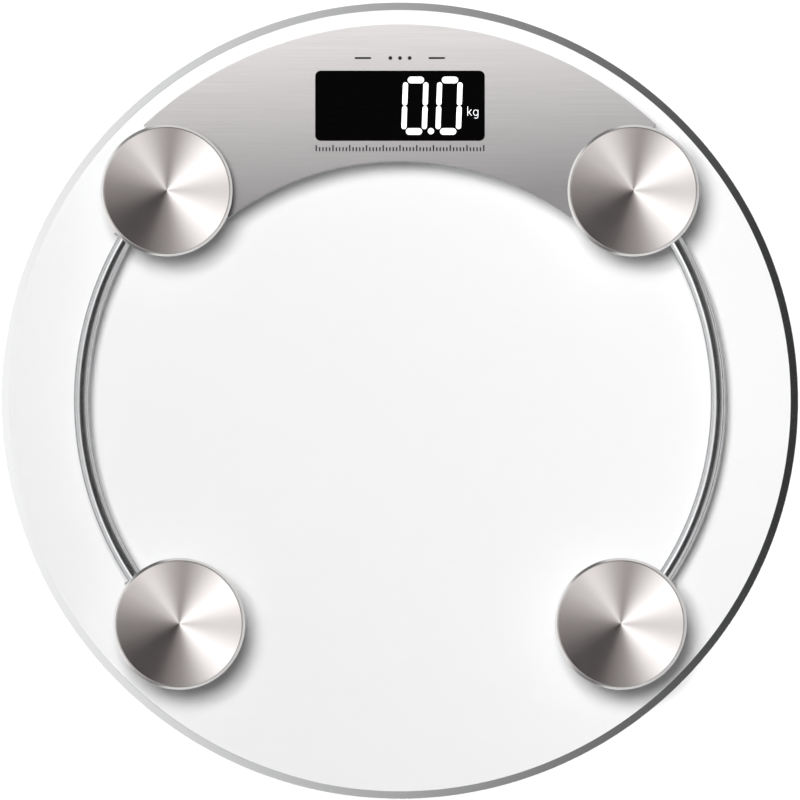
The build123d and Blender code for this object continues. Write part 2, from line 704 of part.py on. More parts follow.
# Upper case: silver moulded shell whose flat top lies against the glass, open at the window.
with BuildPart() as upper_case:
    with BuildSketch(Plane.XY.offset(base_top)):
        case_outline(0)
    extrude(amount=case_top - base_top)
    fillet(upper_case.edges().filter_by(Axis.Z), CASE_TIP_ROUND)
    chamfer(upper_case.faces().sort_by(Axis.Z)[-1].edges(), CASE_EDGE)
    with BuildSketch(Plane.XY.offset(base_top)):
        case_outline(CASE_WALL)
    extrude(amount=case_ceiling - base_top, mode=Mode.SUBTRACT)
    with BuildSketch(Plane.XY.offset(case_ceiling)):
        with Locations((0, window_y)):
            RectangleRounded(
                WINDOW_WIDTH + 2 * WINDOW_CLEARANCE,
                WINDOW_HEIGHT + 2 * WINDOW_CLEARANCE,
                WINDOW_CORNER + WINDOW_CLEARANCE,
            )
    extrude(amount=CASE_TOP_WALL, mode=Mode.SUBTRACT)
    with BuildSketch(Plane.XY.offset(case_ceiling - PANEL_RIB_HEIGHT)):
        rib_inner_width = PANEL_WIDTH + 2 * PANEL_CLEARANCE
        rib_inner_height = PANEL_HEIGHT + 2 * PANEL_CLEARANCE
        with Locations((0, window_y)):
            Rectangle(rib_inner_width + 2 * PANEL_RIB, rib_inner_height + 2 * PANEL_RIB)
            Rectangle(rib_inner_width, rib_inner_height, mode=Mode.SUBTRACT)
    extrude(amount=PANEL_RIB_HEIGHT)
    with BuildSketch(Plane.XY.offset(base_top)):
        with Locations(*case_boss_places):
            Circle(CASE_BOSS_RADIUS)
    extrude(amount=case_ceiling - base_top)
    with BuildSketch(Plane.XY.offset(board_top)):
        with Locations(*board_boss_places):
            Circle(BOARD_BOSS_RADIUS)
    extrude(amount=case_ceiling - board_top)
    with BuildSketch(Plane.XY.offset(base_top)):
        with Locations(*case_boss_places):
            Circle(CASE_SCREW_RADIUS + PILOT_CLEARANCE)
    extrude(amount=CASE_SCREW_LENGTH, mode=Mode.SUBTRACT)
    with BuildSketch(Plane.XY.offset(board_top)):
        with Locations(*board_boss_places):
            Circle(BOARD_SCREW_RADIUS + PILOT_CLEARANCE)
    extrude(amount=BOARD_SCREW_LENGTH - BOARD_THICKNESS + PASS_CLEARANCE, mode=Mode.SUBTRACT)
    for toe in TOES:
        lead_port(toe)
save(upper_case, "upper_case")

# Lower case: base plate with a locating lip, the coin cell's ring, the door's rails and screw recesses.
with BuildPart() as lower_case:
    with BuildSketch(Plane.XY.offset(case_bottom)):
        case_outline(0)
    extrude(amount=BASE_PLATE)
    fillet(lower_case.edges().filter_by(Axis.Z), CASE_TIP_ROUND)
    chamfer(lower_case.faces().sort_by(Axis.Z)[0].edges(), CASE_EDGE)
    with BuildSketch(Plane.XY.offset(base_top)):
        case_outline(CASE_WALL + LIP_CLEARANCE)
    extrude(amount=LIP_HEIGHT)
    with BuildSketch(Plane.XY.offset(base_top)):
        case_outline(CASE_WALL + LIP_CLEARANCE + LIP_THICKNESS)
    extrude(amount=LIP_HEIGHT, mode=Mode.SUBTRACT)
    with BuildSketch(Plane.XY.offset(base_top)):
        with Locations((0, coin_y)):
            Circle(bay_radius + BAY_WALL)
    extrude(amount=coin_top - base_top)
    with BuildSketch(Plane.XY.offset(base_top)):
        with Locations((0, coin_y + bay_radius)):
            Rectangle(CONTACT_WIDTH + 2 * CONTACT_SLOT_CLEARANCE, 4 * BAY_WALL)
    extrude(amount=coin_top - base_top, mode=Mode.SUBTRACT)
    with BuildSketch(Plane.XY.offset(case_bottom)):
        with Locations((0, coin_y)):
            Circle(bay_radius)
    extrude(amount=coin_top - case_bottom, mode=Mode.SUBTRACT)
    slot_length = door_far_y + DOOR_CLEARANCE - case_inner_edge + CASE_WALL
    for bottom, width, height in (
        (case_bottom, DOOR_WIDTH, DOOR_LIP),
        (groove_bottom, DOOR_WIDTH + 2 * DOOR_RAIL, DOOR_GROOVE),
    ):
        with BuildSketch(Plane.XY.offset(bottom)):
            with Locations((0, door_far_y + DOOR_CLEARANCE)):
                Rectangle(width + 2 * DOOR_CLEARANCE, slot_length, align=(Align.CENTER, Align.MAX))
        extrude(amount=height, mode=Mode.SUBTRACT)
    with BuildSketch(Plane.XY.offset(case_bottom)):
        with Locations((BUTTON_X, window_y)):
            Circle(BUTTON_RADIUS + BUTTON_CLEARANCE)
        with Locations(*case_boss_places):
            Circle(CASE_SCREW_RADIUS + PASS_CLEARANCE)
    extrude(amount=BASE_PLATE, mode=Mode.SUBTRACT)
    with BuildSketch(Plane.XY.offset(case_bottom + BUTTON_FLOOR)):
        with Locations((BUTTON_X, window_y)):
            Circle(BUTTON_RADIUS + BUTTON_FLANGE_WIDTH + BUTTON_CLEARANCE)
    extrude(amount=BASE_PLATE - BUTTON_FLOOR, mode=Mode.SUBTRACT)
    with BuildSketch(Plane.XY.offset(case_bottom)):
        with Locations(*case_boss_places):
            Circle(CASE_SCREW_HEAD_RADIUS + PASS_CLEARANCE)
    extrude(amount=CASE_SCREW_HEAD, mode=Mode.SUBTRACT)
save(lower_case, "lower_case")

# Case screws: up through the base plate into the upper case's bosses, with cross recesses in their heads.
with BuildPart() as case_screws:
    for place in case_boss_places:
        with BuildSketch(Plane(origin=place, x_dir=(1, 0, 0), z_dir=(0, -1, 0))):
            screw_profile(
                CASE_SCREW_RADIUS, CASE_SCREW_LENGTH, CASE_SCREW_HEAD_RADIUS, CASE_SCREW_HEAD,
                case_bottom + CASE_SCREW_HEAD,
            )
        revolve(axis=Axis(place, (0, 0, 1)))
    with BuildSketch(Plane.XY.offset(case_bottom)):
        with Locations(*case_boss_places):
            Rectangle(CROSS_LENGTH, CROSS_WIDTH)
            Rectangle(CROSS_WIDTH, CROSS_LENGTH)
    extrude(amount=CROSS_DEPTH, mode=Mode.SUBTRACT)
save(case_screws, "case_screws")

# Window lens: dark clear plate that fills the window, with a flange glued under the top wall.
with BuildPart() as window_lens:
    with BuildSketch(Plane.XY.offset(panel_top)):
        with Locations((0, window_y)):
            RectangleRounded(WINDOW_WIDTH, WINDOW_HEIGHT, WINDOW_CORNER)
    extrude(amount=case_top - LENS_RECESS - panel_top)
    with BuildSketch(Plane.XY.offset(panel_top)):
        with Locations((0, window_y)):
            Rectangle(WINDOW_WIDTH + 2 * LENS_FLANGE_WIDTH, WINDOW_HEIGHT + 2 * LENS_FLANGE_WIDTH)
    extrude(amount=LENS_FLANGE)
save(window_lens, "window_lens")

# Display panel: two bonded glass plates, the front one with a contact ledge on both long sides.
with BuildPart() as display_panel:
    with BuildSketch(Plane.XY.offset(panel_middle)):
        with Locations((0, window_y)):
            Rectangle(PANEL_WIDTH, PANEL_HEIGHT)
    extrude(amount=PANEL_PLATE)
    with BuildSketch(Plane.XY.offset(panel_bottom)):
        with Locations((0, window_y)):
            Rectangle(PANEL_WIDTH, PANEL_HEIGHT - 2 * PANEL_LEDGE)
    extrude(amount=PANEL_PLATE)
save(display_panel, "display_panel")

# Backlight: a light guide plate between the board and the display panel.
with BuildPart() as backlight:
    with BuildSketch(Plane.XY.offset(board_top)):
        with Locations((0, window_y)):
            Rectangle(WINDOW_WIDTH, PANEL_HEIGHT - 2 * PANEL_LEDGE - 2 * BACKLIGHT_MARGIN)
    extrude(amount=BACKLIGHT_THICKNESS)
save(backlight, "backlight")

# Contact strips: soft conductive bars from the board up to the display panel's two ledges.
with BuildPart() as contact_strips:
    with BuildSketch(Plane.XY.offset(board_top)):
        with Locations((0, window_y)):
            with GridLocations(0, PANEL_HEIGHT - PANEL_LEDGE, 1, 2):
                Rectangle(PANEL_WIDTH - 2 * STRIP_END_MARGIN, STRIP_WIDTH)
    extrude(amount=panel_middle - board_top)
save(contact_strips, "contact_strips")

# Main board, with its four screw holes.
with BuildPart() as main_board:
    with BuildSketch(Plane.XY.offset(board_bottom)):
        with Locations((0, window_y)):
            RectangleRounded(board_width, BOARD_HEIGHT, BOARD_CORNER)
        with Locations(*board_boss_places):
            Circle(BOARD_SCREW_RADIUS + PASS_CLEARANCE, mode=Mode.SUBTRACT)
    extrude(amount=BOARD_THICKNESS)
save(main_board, "main_board")

# Board screws: up through the board into the upper case's short bosses.
with BuildPart() as board_screws:
    for place in board_boss_places:
        with BuildSketch(Plane(origin=(*place, 0), x_dir=(1, 0, 0), z_dir=(0, -1, 0))):
            screw_profile(
                BOARD_SCREW_RADIUS, BOARD_SCREW_LENGTH, BOARD_SCREW_HEAD_RADIUS, BOARD_SCREW_HEAD,
                board_bottom,
            )
        revolve(axis=Axis((*place, 0), (0, 0, 1)))
save(board_screws, "board_screws")

# Driver chip: a low dome of sealing resin under the board.
with BuildPart() as driver_chip:
    with BuildSketch(Plane(origin=(CHIP_X, window_y, 0), x_dir=(1, 0, 0), z_dir=(0, -1, 0))):
        with BuildLine():
            Line((CHIP_RADIUS, board_bottom), (0, board_bottom))
            Line((0, board_bottom), (0, board_bottom - CHIP_HEIGHT))
            dome_radius = (CHIP_RADIUS**2 + CHIP_HEIGHT**2) / (2 * CHIP_HEIGHT)
            RadiusArc((0, board_bottom - CHIP_HEIGHT), (CHIP_RADIUS, board_bottom), -dome_radius)
        make_face()
    revolve(axis=Axis((CHIP_X, window_y, 0), (0, 0, 1)))
save(driver_chip, "driver_chip")

# Tap sensor: a small sealed can that lies on the board and switches the scale on when tapped.
with BuildPart() as tap_sensor:
    sensor_place = (sensor_x, window_y - SENSOR_LENGTH / 2, board_top + SENSOR_RADIUS)
    with BuildSketch(Plane(origin=sensor_place, x_dir=(1, 0, 0), z_dir=(0, 1, 0))):
        Circle(SENSOR_RADIUS)
    extrude(amount=SENSOR_LENGTH)
save(tap_sensor, "tap_sensor")

# Coin cell: a steel can with its smaller cap upwards.
with BuildPart() as coin_cell:
    with BuildSketch(Plane(origin=(0, coin_y, 0), x_dir=(1, 0, 0), z_dir=(0, -1, 0))):
        with BuildLine():
            Polyline(
                (0, coin_bottom),
                (COIN_RADIUS - COIN_EDGE, coin_bottom),
                (COIN_RADIUS, coin_bottom + COIN_EDGE),
                (COIN_RADIUS, coin_top - COIN_CAP_HEIGHT),
                (COIN_RADIUS - COIN_CAP_INSET, coin_top - COIN_CAP_HEIGHT),
                (COIN_RADIUS - COIN_CAP_INSET, coin_top),
                (0, coin_top),
                close=True,
            )
        make_face()
    revolve(axis=Axis((0, coin_y, 0), (0, 0, 1)))
save(coin_cell, "coin_cell")

# Battery spring: a bowed leaf under the board that presses on the coin cell's cap.
with BuildPart() as battery_spring:
    spring_plane = Plane(origin=(0, coin_y, 0), x_dir=(1, 0, 0), z_dir=(0, -1, 0))
    spring_reach = COIN_RADIUS - 2 * COIN_CAP_INSET
    with BuildSketch(spring_plane):
        with BuildLine():
            ThreePointArc(
                (-spring_reach, board_bottom - CONTACT_SHEET / 2),
                (0, coin_top + CONTACT_SHEET / 2),
                (spring_reach, board_bottom - CONTACT_SHEET / 2),
            )
        trace(line_width=CONTACT_SHEET)
    extrude(amount=CONTACT_WIDTH / 2, both=True)
save(battery_spring, "battery_spring")

# Battery clip: a bent strip from the board down to the side of the coin cell.
with BuildPart() as battery_clip:
    clip_y = coin_y + COIN_RADIUS + CONTACT_CLEARANCE
    with BuildSketch(Plane.YZ):
        with BuildLine():
            Polyline(
                (clip_y, coin_bottom + COIN_EDGE),
                (clip_y + CONTACT_SHEET, coin_bottom + COIN_EDGE),
                (clip_y + CONTACT_SHEET, board_bottom - CONTACT_SHEET),
                (clip_y + CONTACT_FOOT, board_bottom - CONTACT_SHEET),
                (clip_y + CONTACT_FOOT, board_bottom),
                (clip_y, board_bottom),
                close=True,
            )
        make_face()
    extrude(amount=CONTACT_WIDTH / 2, both=True)
save(battery_clip, "battery_clip")

# Battery door: slides out at the housing's inner edge, on two side rails. Ridges give a thumb grip.
with BuildPart() as battery_door:
    door_length = door_far_y - case_inner_edge + CASE_WALL
    for bottom, width, top in (
        (case_bottom, DOOR_WIDTH, groove_bottom + DOOR_CLEARANCE),
        (groove_bottom + DOOR_CLEARANCE, DOOR_WIDTH + 2 * DOOR_RAIL, groove_top - DOOR_CLEARANCE),
    ):
        with BuildSketch(Plane.XY.offset(bottom)):
            with Locations((0, door_far_y)):
                Rectangle(width, door_length, align=(Align.CENTER, Align.MAX))
            with Locations((0, case_inner_centre)):
                Circle(CASE_INNER_RADIUS, mode=Mode.SUBTRACT)
        extrude(amount=top - bottom)
    with BuildSketch(Plane.XY.offset(case_bottom - RIDGE_HEIGHT)):
        with Locations((0, case_inner_edge + RIDGE_MARGIN + (RIDGES - 1) * RIDGE_PITCH / 2)):
            with GridLocations(0, RIDGE_PITCH, 1, RIDGES):
                SlotOverall(RIDGE_LENGTH, RIDGE_WIDTH)
    extrude(amount=RIDGE_HEIGHT)
save(battery_door, "battery_door")

# Unit switch: a small switch body under the board, open at its lower face for the plunger.
switch_bottom = board_bottom - SWITCH_HEIGHT
plunger_bottom = switch_bottom - PLUNGER_PROUD
with BuildPart() as unit_switch:
    with BuildSketch(Plane.XY.offset(switch_bottom)):
        with Locations((BUTTON_X, window_y)):
            Rectangle(SWITCH_SIZE, SWITCH_SIZE)
            Circle(PLUNGER_RADIUS + BUTTON_CLEARANCE, mode=Mode.SUBTRACT)
    extrude(amount=SWITCH_HEIGHT)
save(unit_switch, "unit_switch")

# Switch plunger: the short pin that the button pushes into the switch.
with BuildPart() as switch_plunger:
    with BuildSketch(Plane.XY.offset(plunger_bottom)):
        with Locations((BUTTON_X, window_y)):
            Circle(PLUNGER_RADIUS)
    extrude(amount=PLUNGER_LENGTH)
save(switch_plunger, "switch_plunger")

# Unit button: round cap through the base plate, with a flange inside and a stem up to the plunger.
with BuildPart() as unit_button:
    with BuildSketch(Plane(origin=(BUTTON_X, window_y, 0), x_dir=(1, 0, 0), z_dir=(0, -1, 0))):
        flange_bottom = case_bottom + BUTTON_FLOOR
        with BuildLine():
            Polyline(
                (0, case_bottom - BUTTON_PROUD),
                (BUTTON_RADIUS - BUTTON_PROUD, case_bottom - BUTTON_PROUD),
                (BUTTON_RADIUS, case_bottom),
                (BUTTON_RADIUS, flange_bottom),
                (BUTTON_RADIUS + BUTTON_FLANGE_WIDTH, flange_bottom),
                (BUTTON_RADIUS + BUTTON_FLANGE_WIDTH, flange_bottom + BUTTON_FLANGE),
                (BUTTON_STEM_RADIUS, flange_bottom + BUTTON_FLANGE),
                (BUTTON_STEM_RADIUS, plunger_bottom),
                (0, plunger_bottom),
                close=True,
            )
        make_face()
    revolve(axis=Axis((BUTTON_X, window_y, 0), (0, 0, 1)))
save(unit_button, "unit_button")
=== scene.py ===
import bpy
import numpy as np
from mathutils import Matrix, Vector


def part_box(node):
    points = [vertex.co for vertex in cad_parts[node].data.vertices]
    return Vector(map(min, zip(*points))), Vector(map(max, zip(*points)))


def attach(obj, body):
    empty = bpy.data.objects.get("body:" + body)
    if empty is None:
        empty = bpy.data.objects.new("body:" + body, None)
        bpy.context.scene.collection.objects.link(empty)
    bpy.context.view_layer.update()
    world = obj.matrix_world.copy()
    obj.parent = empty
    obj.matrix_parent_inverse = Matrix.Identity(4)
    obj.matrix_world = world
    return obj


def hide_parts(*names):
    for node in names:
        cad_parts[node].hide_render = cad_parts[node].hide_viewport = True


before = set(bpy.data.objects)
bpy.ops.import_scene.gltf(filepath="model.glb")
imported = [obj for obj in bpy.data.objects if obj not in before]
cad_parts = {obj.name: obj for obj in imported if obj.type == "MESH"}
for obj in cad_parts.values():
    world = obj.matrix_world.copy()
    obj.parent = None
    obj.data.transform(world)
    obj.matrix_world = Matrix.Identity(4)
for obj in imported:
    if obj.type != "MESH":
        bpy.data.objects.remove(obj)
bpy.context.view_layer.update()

# Glass platform: a round plate of clear toughened glass with a polished bevel round its top edge.
# It is cut and ground from one sheet, and each of its four holes takes the boss of a disc seat.
glass_low, glass_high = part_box("glass_platform")
TOUCH_GAP = 0.00003
GLASS_RADIUS = glass_high[0]
GLASS_TOP = glass_high[2]
GLASS_UNDERSIDE = glass_low[2] + TOUCH_GAP
BEVEL_WIDTH = 0.0033
BEVEL_DEPTH = 0.0030
ARRIS = 0.0005
EDGE_LINE = 0.00025
HOLE_RADIUS = 0.0065
RAY_STEPS = 60
QUARTER_STEPS = 180
EDGE_STEPS = 4 * QUARTER_STEPS
FEET = ("toe_right", "toe_left", "heel_left", "heel_right")
foot_centres = {
    foot: (np.array(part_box(f"steel_disc_{foot}")[0]) + np.array(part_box(f"steel_disc_{foot}")[1]))[:2] / 2
    for foot in FEET
}


def grid_faces(rows, columns, close_rows=False, close_columns=False, first=0):
    """Four-sided faces of a grid of points. A closed direction joins its end to its start."""
    index = np.arange(rows * columns).reshape(rows, columns) + first
    if close_rows:
        index = np.vstack([index, index[:1]])
    if close_columns:
        index = np.hstack([index, index[:, :1]])
    corners = [index[:-1, :-1], index[:-1, 1:], index[1:, 1:], index[1:, :-1]]
    return np.stack(corners, axis=-1).reshape(-1, 4)


def mesh_object(name, points, faces, sharp_degrees=25.0):
    """A smooth shaded object of these points and faces. Edges that turn by more than the angle stay sharp."""
    mesh = bpy.data.meshes.new(name)
    mesh.from_pydata(np.asarray(points).reshape(-1, 3).tolist(), [], [list(face) for face in faces])
    mesh.update()
    mesh.shade_smooth()
    mesh.set_sharp_from_angle(angle=np.radians(sharp_degrees))
    thing = bpy.data.objects.new(name, mesh)
    bpy.context.scene.collection.objects.link(thing)
    return thing


def welded(patches):
    """Joins patches of points and faces into one. Points that agree to a tenth of a micrometre become one."""
    points = np.vstack([patch_points.reshape(-1, 3) for patch_points, _ in patches])
    starts = np.cumsum([0] + [patch_points.reshape(-1, 3).shape[0] for patch_points, _ in patches[:-1]])
    faces = np.vstack([patch_faces + start for (_, patch_faces), start in zip(patches, starts)])
    unique, where = np.unique(np.round(points, 7) + 0.0, axis=0, return_inverse=True)
    return unique, where.reshape(-1)[faces]


def plate_quarter(quarter, centre):
    """Rim and hole of a quarter of the plate. The rim runs out along one ray from the middle, round the
    arc and back along the next ray. Each hole point is where the line from the hole's centre to a rim point
    meets the hole."""
    ray = np.linspace(0, 1, RAY_STEPS + 1)[:-1]
    arc = np.radians(90 * quarter + np.linspace(0, 90, QUARTER_STEPS + 1))
    start, end = arc[0], arc[-1]
    out = np.stack([ray * np.cos(start), ray * np.sin(start)], axis=1)
    turn = np.stack([np.cos(arc), np.sin(arc)], axis=1)
    back = np.stack([ray[:0:-1] * np.cos(end), ray[:0:-1] * np.sin(end)], axis=1)
    rim = np.vstack([out, turn, back])
    towards = rim * GLASS_RADIUS - centre
    hole = centre + HOLE_RADIUS * towards / np.linalg.norm(towards, axis=1, keepdims=True)
    return rim, hole


def at_height(flat_points, height):
    """Points of the plan lifted to a height."""
    return np.column_stack([flat_points, np.full(len(flat_points), height)])


edge_profile = np.array([
    [GLASS_RADIUS - ARRIS, GLASS_UNDERSIDE],
    [GLASS_RADIUS, GLASS_UNDERSIDE + ARRIS],
    [GLASS_RADIUS, GLASS_TOP - BEVEL_DEPTH - EDGE_LINE / 2],
    [GLASS_RADIUS - EDGE_LINE / 3, GLASS_TOP - BEVEL_DEPTH + EDGE_LINE / 3],
    [GLASS_RADIUS - BEVEL_WIDTH + EDGE_LINE / 2, GLASS_TOP - EDGE_LINE / 3],
    [GLASS_RADIUS - BEVEL_WIDTH, GLASS_TOP],
])
glass_patches = []
for quarter, foot in enumerate(FEET):
    rim, hole = plate_quarter(quarter, foot_centres[foot])
    top_rim = rim * edge_profile[-1, 0]
    bottom_rim = rim * edge_profile[0, 0]
    top = np.stack([at_height(hole, GLASS_TOP), at_height(top_rim, GLASS_TOP)])
    bottom = np.stack([at_height(bottom_rim, GLASS_UNDERSIDE), at_height(hole, GLASS_UNDERSIDE)])
    wall = np.stack([at_height(hole, GLASS_UNDERSIDE), at_height(hole, GLASS_TOP)])
    for strip in (top, bottom, wall):
        glass_patches.append((strip, grid_faces(2, strip.shape[1], close_columns=True)[:, ::-1]))
edge_angle = np.radians(np.arange(EDGE_STEPS) * 360 / EDGE_STEPS)
edge = np.stack([
    edge_profile[:, :1] * np.cos(edge_angle),
    edge_profile[:, :1] * np.sin(edge_angle),
    np.repeat(edge_profile[:, 1:], EDGE_STEPS, axis=1),
], axis=-1)
glass_patches.append((edge, grid_faces(len(edge_profile), EDGE_STEPS, close_columns=True)))
glass_points, glass_faces = welded(glass_patches)
glass = mesh_object("clear_platform", glass_points, glass_faces, sharp_degrees=12)


def new_material(name):
    """A material whose Principled shader is joined to its output, with the tree and the shader."""
    material = bpy.data.materials.new(name)
    material.use_nodes = True
    return material, material.node_tree, material.node_tree.nodes["Principled BSDF"]


def grey(level):
    """A colour that is the same in red, green and blue."""
    return (level, level, level, 1)


def add(tree, kind, settings=(), **inputs):
    """A node of this kind with its settings. An input that is a socket is linked and a plain value is set."""
    node = tree.nodes.new(kind)
    for key, value in dict(settings).items():
        setattr(node, key, value)
    for key, value in inputs.items():
        numbered = key.startswith("in") and key[2:].isdigit()
        socket = node.inputs[int(key[2:])] if numbered else node.inputs[key]
        if isinstance(value, bpy.types.NodeSocket):
            tree.links.new(value, socket)
        else:
            socket.default_value = value
    return node


def maths(tree, operation, *values):
    """The result of a Math node that works on these sockets or numbers."""
    inputs = {f"in{place}": value for place, value in enumerate(values)}
    return add(tree, "ShaderNodeMath", {"operation": operation}, **inputs).outputs[0]


def ranged(tree, value, span, result=(0.0, 1.0), curve="LINEAR"):
    """The result of a Map Range node, which takes a value from one span of numbers to another."""
    limits = {"From Min": span[0], "From Max": span[1], "To Min": result[0], "To Max": result[1]}
    return add(tree, "ShaderNodeMapRange", {"interpolation_type": curve}, Value=value, **limits).outputs[0]


def colour_mix(tree, share, first, second, blend="MIX"):
    """The result of a Mix node, which goes from the first colour to the second by this share."""
    settings = {"data_type": "RGBA", "blend_type": blend}
    return add(tree, "ShaderNodeMix", settings, in0=share, in6=first, in7=second).outputs[2]


def mottle_group():
    """Node group: two colours mixed by soft noise, a level between two limits, and a fine grain."""
    NOISE_SPAN = (0.3, 0.7)
    group = bpy.data.node_groups.new("mottle", "ShaderNodeTree")
    for name, kind in (("Vector", "NodeSocketVector"), ("Light", "NodeSocketColor"),
                       ("Dark", "NodeSocketColor"),
                       ("Patch Scale", "NodeSocketFloat"), ("Grain Scale", "NodeSocketFloat"),
                       ("Low", "NodeSocketFloat"), ("High", "NodeSocketFloat")):
        group.interface.new_socket(name, in_out="INPUT", socket_type=kind)
    group.interface.new_socket("Colour", in_out="OUTPUT", socket_type="NodeSocketColor")
    group.interface.new_socket("Grain", in_out="OUTPUT", socket_type="NodeSocketFloat")
    group.interface.new_socket("Level", in_out="OUTPUT", socket_type="NodeSocketFloat")
    given = group.nodes.new("NodeGroupInput").outputs
    patches = add(group, "ShaderNodeTexNoise", in0=given["Vector"], Scale=given["Patch Scale"], Detail=3.0)
    grain = add(group, "ShaderNodeTexNoise", in0=given["Vector"], Scale=given["Grain Scale"], Detail=2.0)
    colour = colour_mix(group, patches.outputs[0], given["Dark"], given["Light"])
    level = ranged(group, patches.outputs[0], NOISE_SPAN, (given["Low"], given["High"]))
    given_out = group.nodes.new("NodeGroupOutput").inputs
    group.links.new(colour, given_out["Colour"])
    group.links.new(grain.outputs[0], given_out["Grain"])
    group.links.new(level, given_out["Level"])
    return group


mottle = mottle_group()


def mottled(tree, light, dark, rough, patch, grain):
    """Places the mottle group on object coordinates, with these colours, roughness limits and scales."""
    place = tree.nodes.new("ShaderNodeTexCoord")
    numbers = {"Patch Scale": patch, "Grain Scale": grain, "Low": rough[0], "High": rough[1]}
    return add(tree, "ShaderNodeGroup", {"node_tree": mottle}, Vector=place.outputs["Object"],
               Light=light, Dark=dark, **numbers)


def see_through(tree, shader, tint):
    """Lets shadow and diffuse rays pass straight through a clear piece, tinted, to light what is under it."""
    path = tree.nodes.new("ShaderNodeLightPath")
    either = maths(tree, "MAXIMUM", path.outputs["Is Shadow Ray"], path.outputs["Is Diffuse Ray"])
    clear = add(tree, "ShaderNodeBsdfTransparent", Color=tint)
    mixed = add(tree, "ShaderNodeMixShader", Fac=either, in1=shader.outputs[0], in2=clear.outputs[0])
    tree.links.new(mixed.outputs[0], tree.nodes["Material Output"].inputs["Surface"])


# Painted shade: the glass is coloured greyer towards one side, the lower left, over its faint mottled tint.
SHADE_HEADING = (0.8, 0.6, 0.0)
SHADE_SHARE = 0.6
SHADE_COLOUR = grey(0.78)
clear_glass, tree, shader = new_material("clear_glass")
tint = mottled(tree, grey(1.0), (0.994, 0.995, 0.994, 1), rough=(0.0, 0.004), patch=14, grain=60)
place = tree.nodes.new("ShaderNodeTexCoord")
across = add(tree, "ShaderNodeVectorMath", {"operation": "DOT_PRODUCT"},
             in0=place.outputs["Object"], in1=SHADE_HEADING)
painted_shade = ranged(tree, across.outputs["Value"], (-GLASS_RADIUS, GLASS_RADIUS), (SHADE_SHARE, 0.0))
tint_and_shade = colour_mix(tree, painted_shade, tint.outputs["Colour"], SHADE_COLOUR)
tree.links.new(tint_and_shade, shader.inputs["Base Color"])
tree.links.new(tint.outputs["Level"], shader.inputs["Roughness"])
shader.inputs["Transmission Weight"].default_value = 1.0
shader.inputs["IOR"].default_value = 1.45
see_through(tree, shader, tint=grey(0.99))

polished_edge, tree, shader = new_material("polished_edge")
tint = mottled(tree, (0.93, 0.935, 0.935, 1), (0.90, 0.905, 0.905, 1), rough=(0.05, 0.09),
               patch=40, grain=400)
tree.links.new(tint.outputs["Colour"], shader.inputs["Base Color"])
tree.links.new(tint.outputs["Level"], shader.inputs["Roughness"])
shader.inputs["Metallic"].default_value = 1.0
see_through(tree, shader, tint=(0.97, 0.975, 0.973, 1))

glass.data.materials.append(clear_glass)
glass.data.materials.append(polished_edge)
face_middles = glass_points[glass_faces].mean(axis=1)
out_from_middle = np.hypot(face_middles[:, 0], face_middles[:, 1])
beyond_top = out_from_middle > GLASS_RADIUS - BEVEL_WIDTH
above_side = face_middles[:, 2] > GLASS_TOP - BEVEL_DEPTH - EDGE_LINE
on_bevel = beyond_top & above_side
glass.data.polygons.foreach_set("material_index", on_bevel.astype(np.int32))
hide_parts("glass_platform")
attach(glass, "platform")


# Gaskets and grommets: soft rubber rings. The dark gaskets are cut from sheet for both faces of the glass,
# and the pale grommets are moulded as bushes where the tubes enter the foot housings. The parts that
# squeeze them hold them.
def moulded(name, light, dark, rough, grain=2600, depth=0.00002, patch=55):
    """A moulded or rubber finish: mottled colour and roughness, with a fine grain of this depth."""
    material, tree, shader = new_material(name)
    skin = mottled(tree, light, dark, rough, patch, grain)
    tree.links.new(skin.outputs["Colour"], shader.inputs["Base Color"])
    tree.links.new(skin.outputs["Level"], shader.inputs["Roughness"])
    bump = add(tree, "ShaderNodeBump", Strength=0.6, Distance=depth, Height=skin.outputs["Grain"])
    tree.links.new(bump.outputs[0], shader.inputs["Normal"])
    return material


def dress(names, material):
    """Gives these solids the material in place of the plain one they came with."""
    for name in names:
        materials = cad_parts[name].data.materials
        materials.clear()
        materials.append(material)


soft_rubber = moulded("soft_rubber", grey(0.05), grey(0.03), rough=(0.6, 0.8))
dress(["disc_gaskets", "foot_gaskets"], soft_rubber)
pale_rubber = moulded("pale_rubber", grey(0.50), grey(0.44), rough=(0.55, 0.7))
dress(["tube_grommets"], pale_rubber)

# Disc seats: white moulded plates that fill the steel discs from below.
# Each has a boss that goes down through a hole in the glass.
seat_plastic = moulded("seat_plastic", (0.75, 0.75, 0.73, 1), (0.68, 0.68, 0.66, 1), rough=(0.4, 0.55))
dress([f"disc_seat_{foot}" for foot in FEET], seat_plastic)

# Steel discs: drawn caps of stainless sheet with a turned line and a polished bevel, clipped on the seats.
# Their faces are finished in a lathe, so fine rings run round the middle, and light gathers in bands from
# the middle to the edge.
DISC_SHOULDER = 0.0014
DISC_SHEET = 0.0006
DISC_DISH = 0.0004
BEVEL_REACH = 0.0011
BEVEL_DROP = 0.0007
TURNED_LINE = 0.00015
HUB_RADIUS = 0.0002
CREST_RUN = 0.00012
CREST_FALL = 0.00003
CORNER_RUN = 0.00006
CORNER_RISE = 0.00001
CORNER_FALL = 0.0001
FACE_ROWS = 24
DISC_COLUMNS = 256
SPIN_SLOPE = 0.40
RING_SCALE = 1600.0
RING_DEPTH = 0.0000025


def lathe(profile, centre, columns):
    """Points of a profile of radius and height turned about an upright axis, a row for each profile point."""
    angle = np.radians(np.arange(columns) * 360.0 / columns)
    return np.stack([
        centre[0] + profile[:, :1] * np.cos(angle),
        centre[1] + profile[:, :1] * np.sin(angle),
        np.repeat(profile[:, 1:], columns, axis=1),
    ], axis=-1)


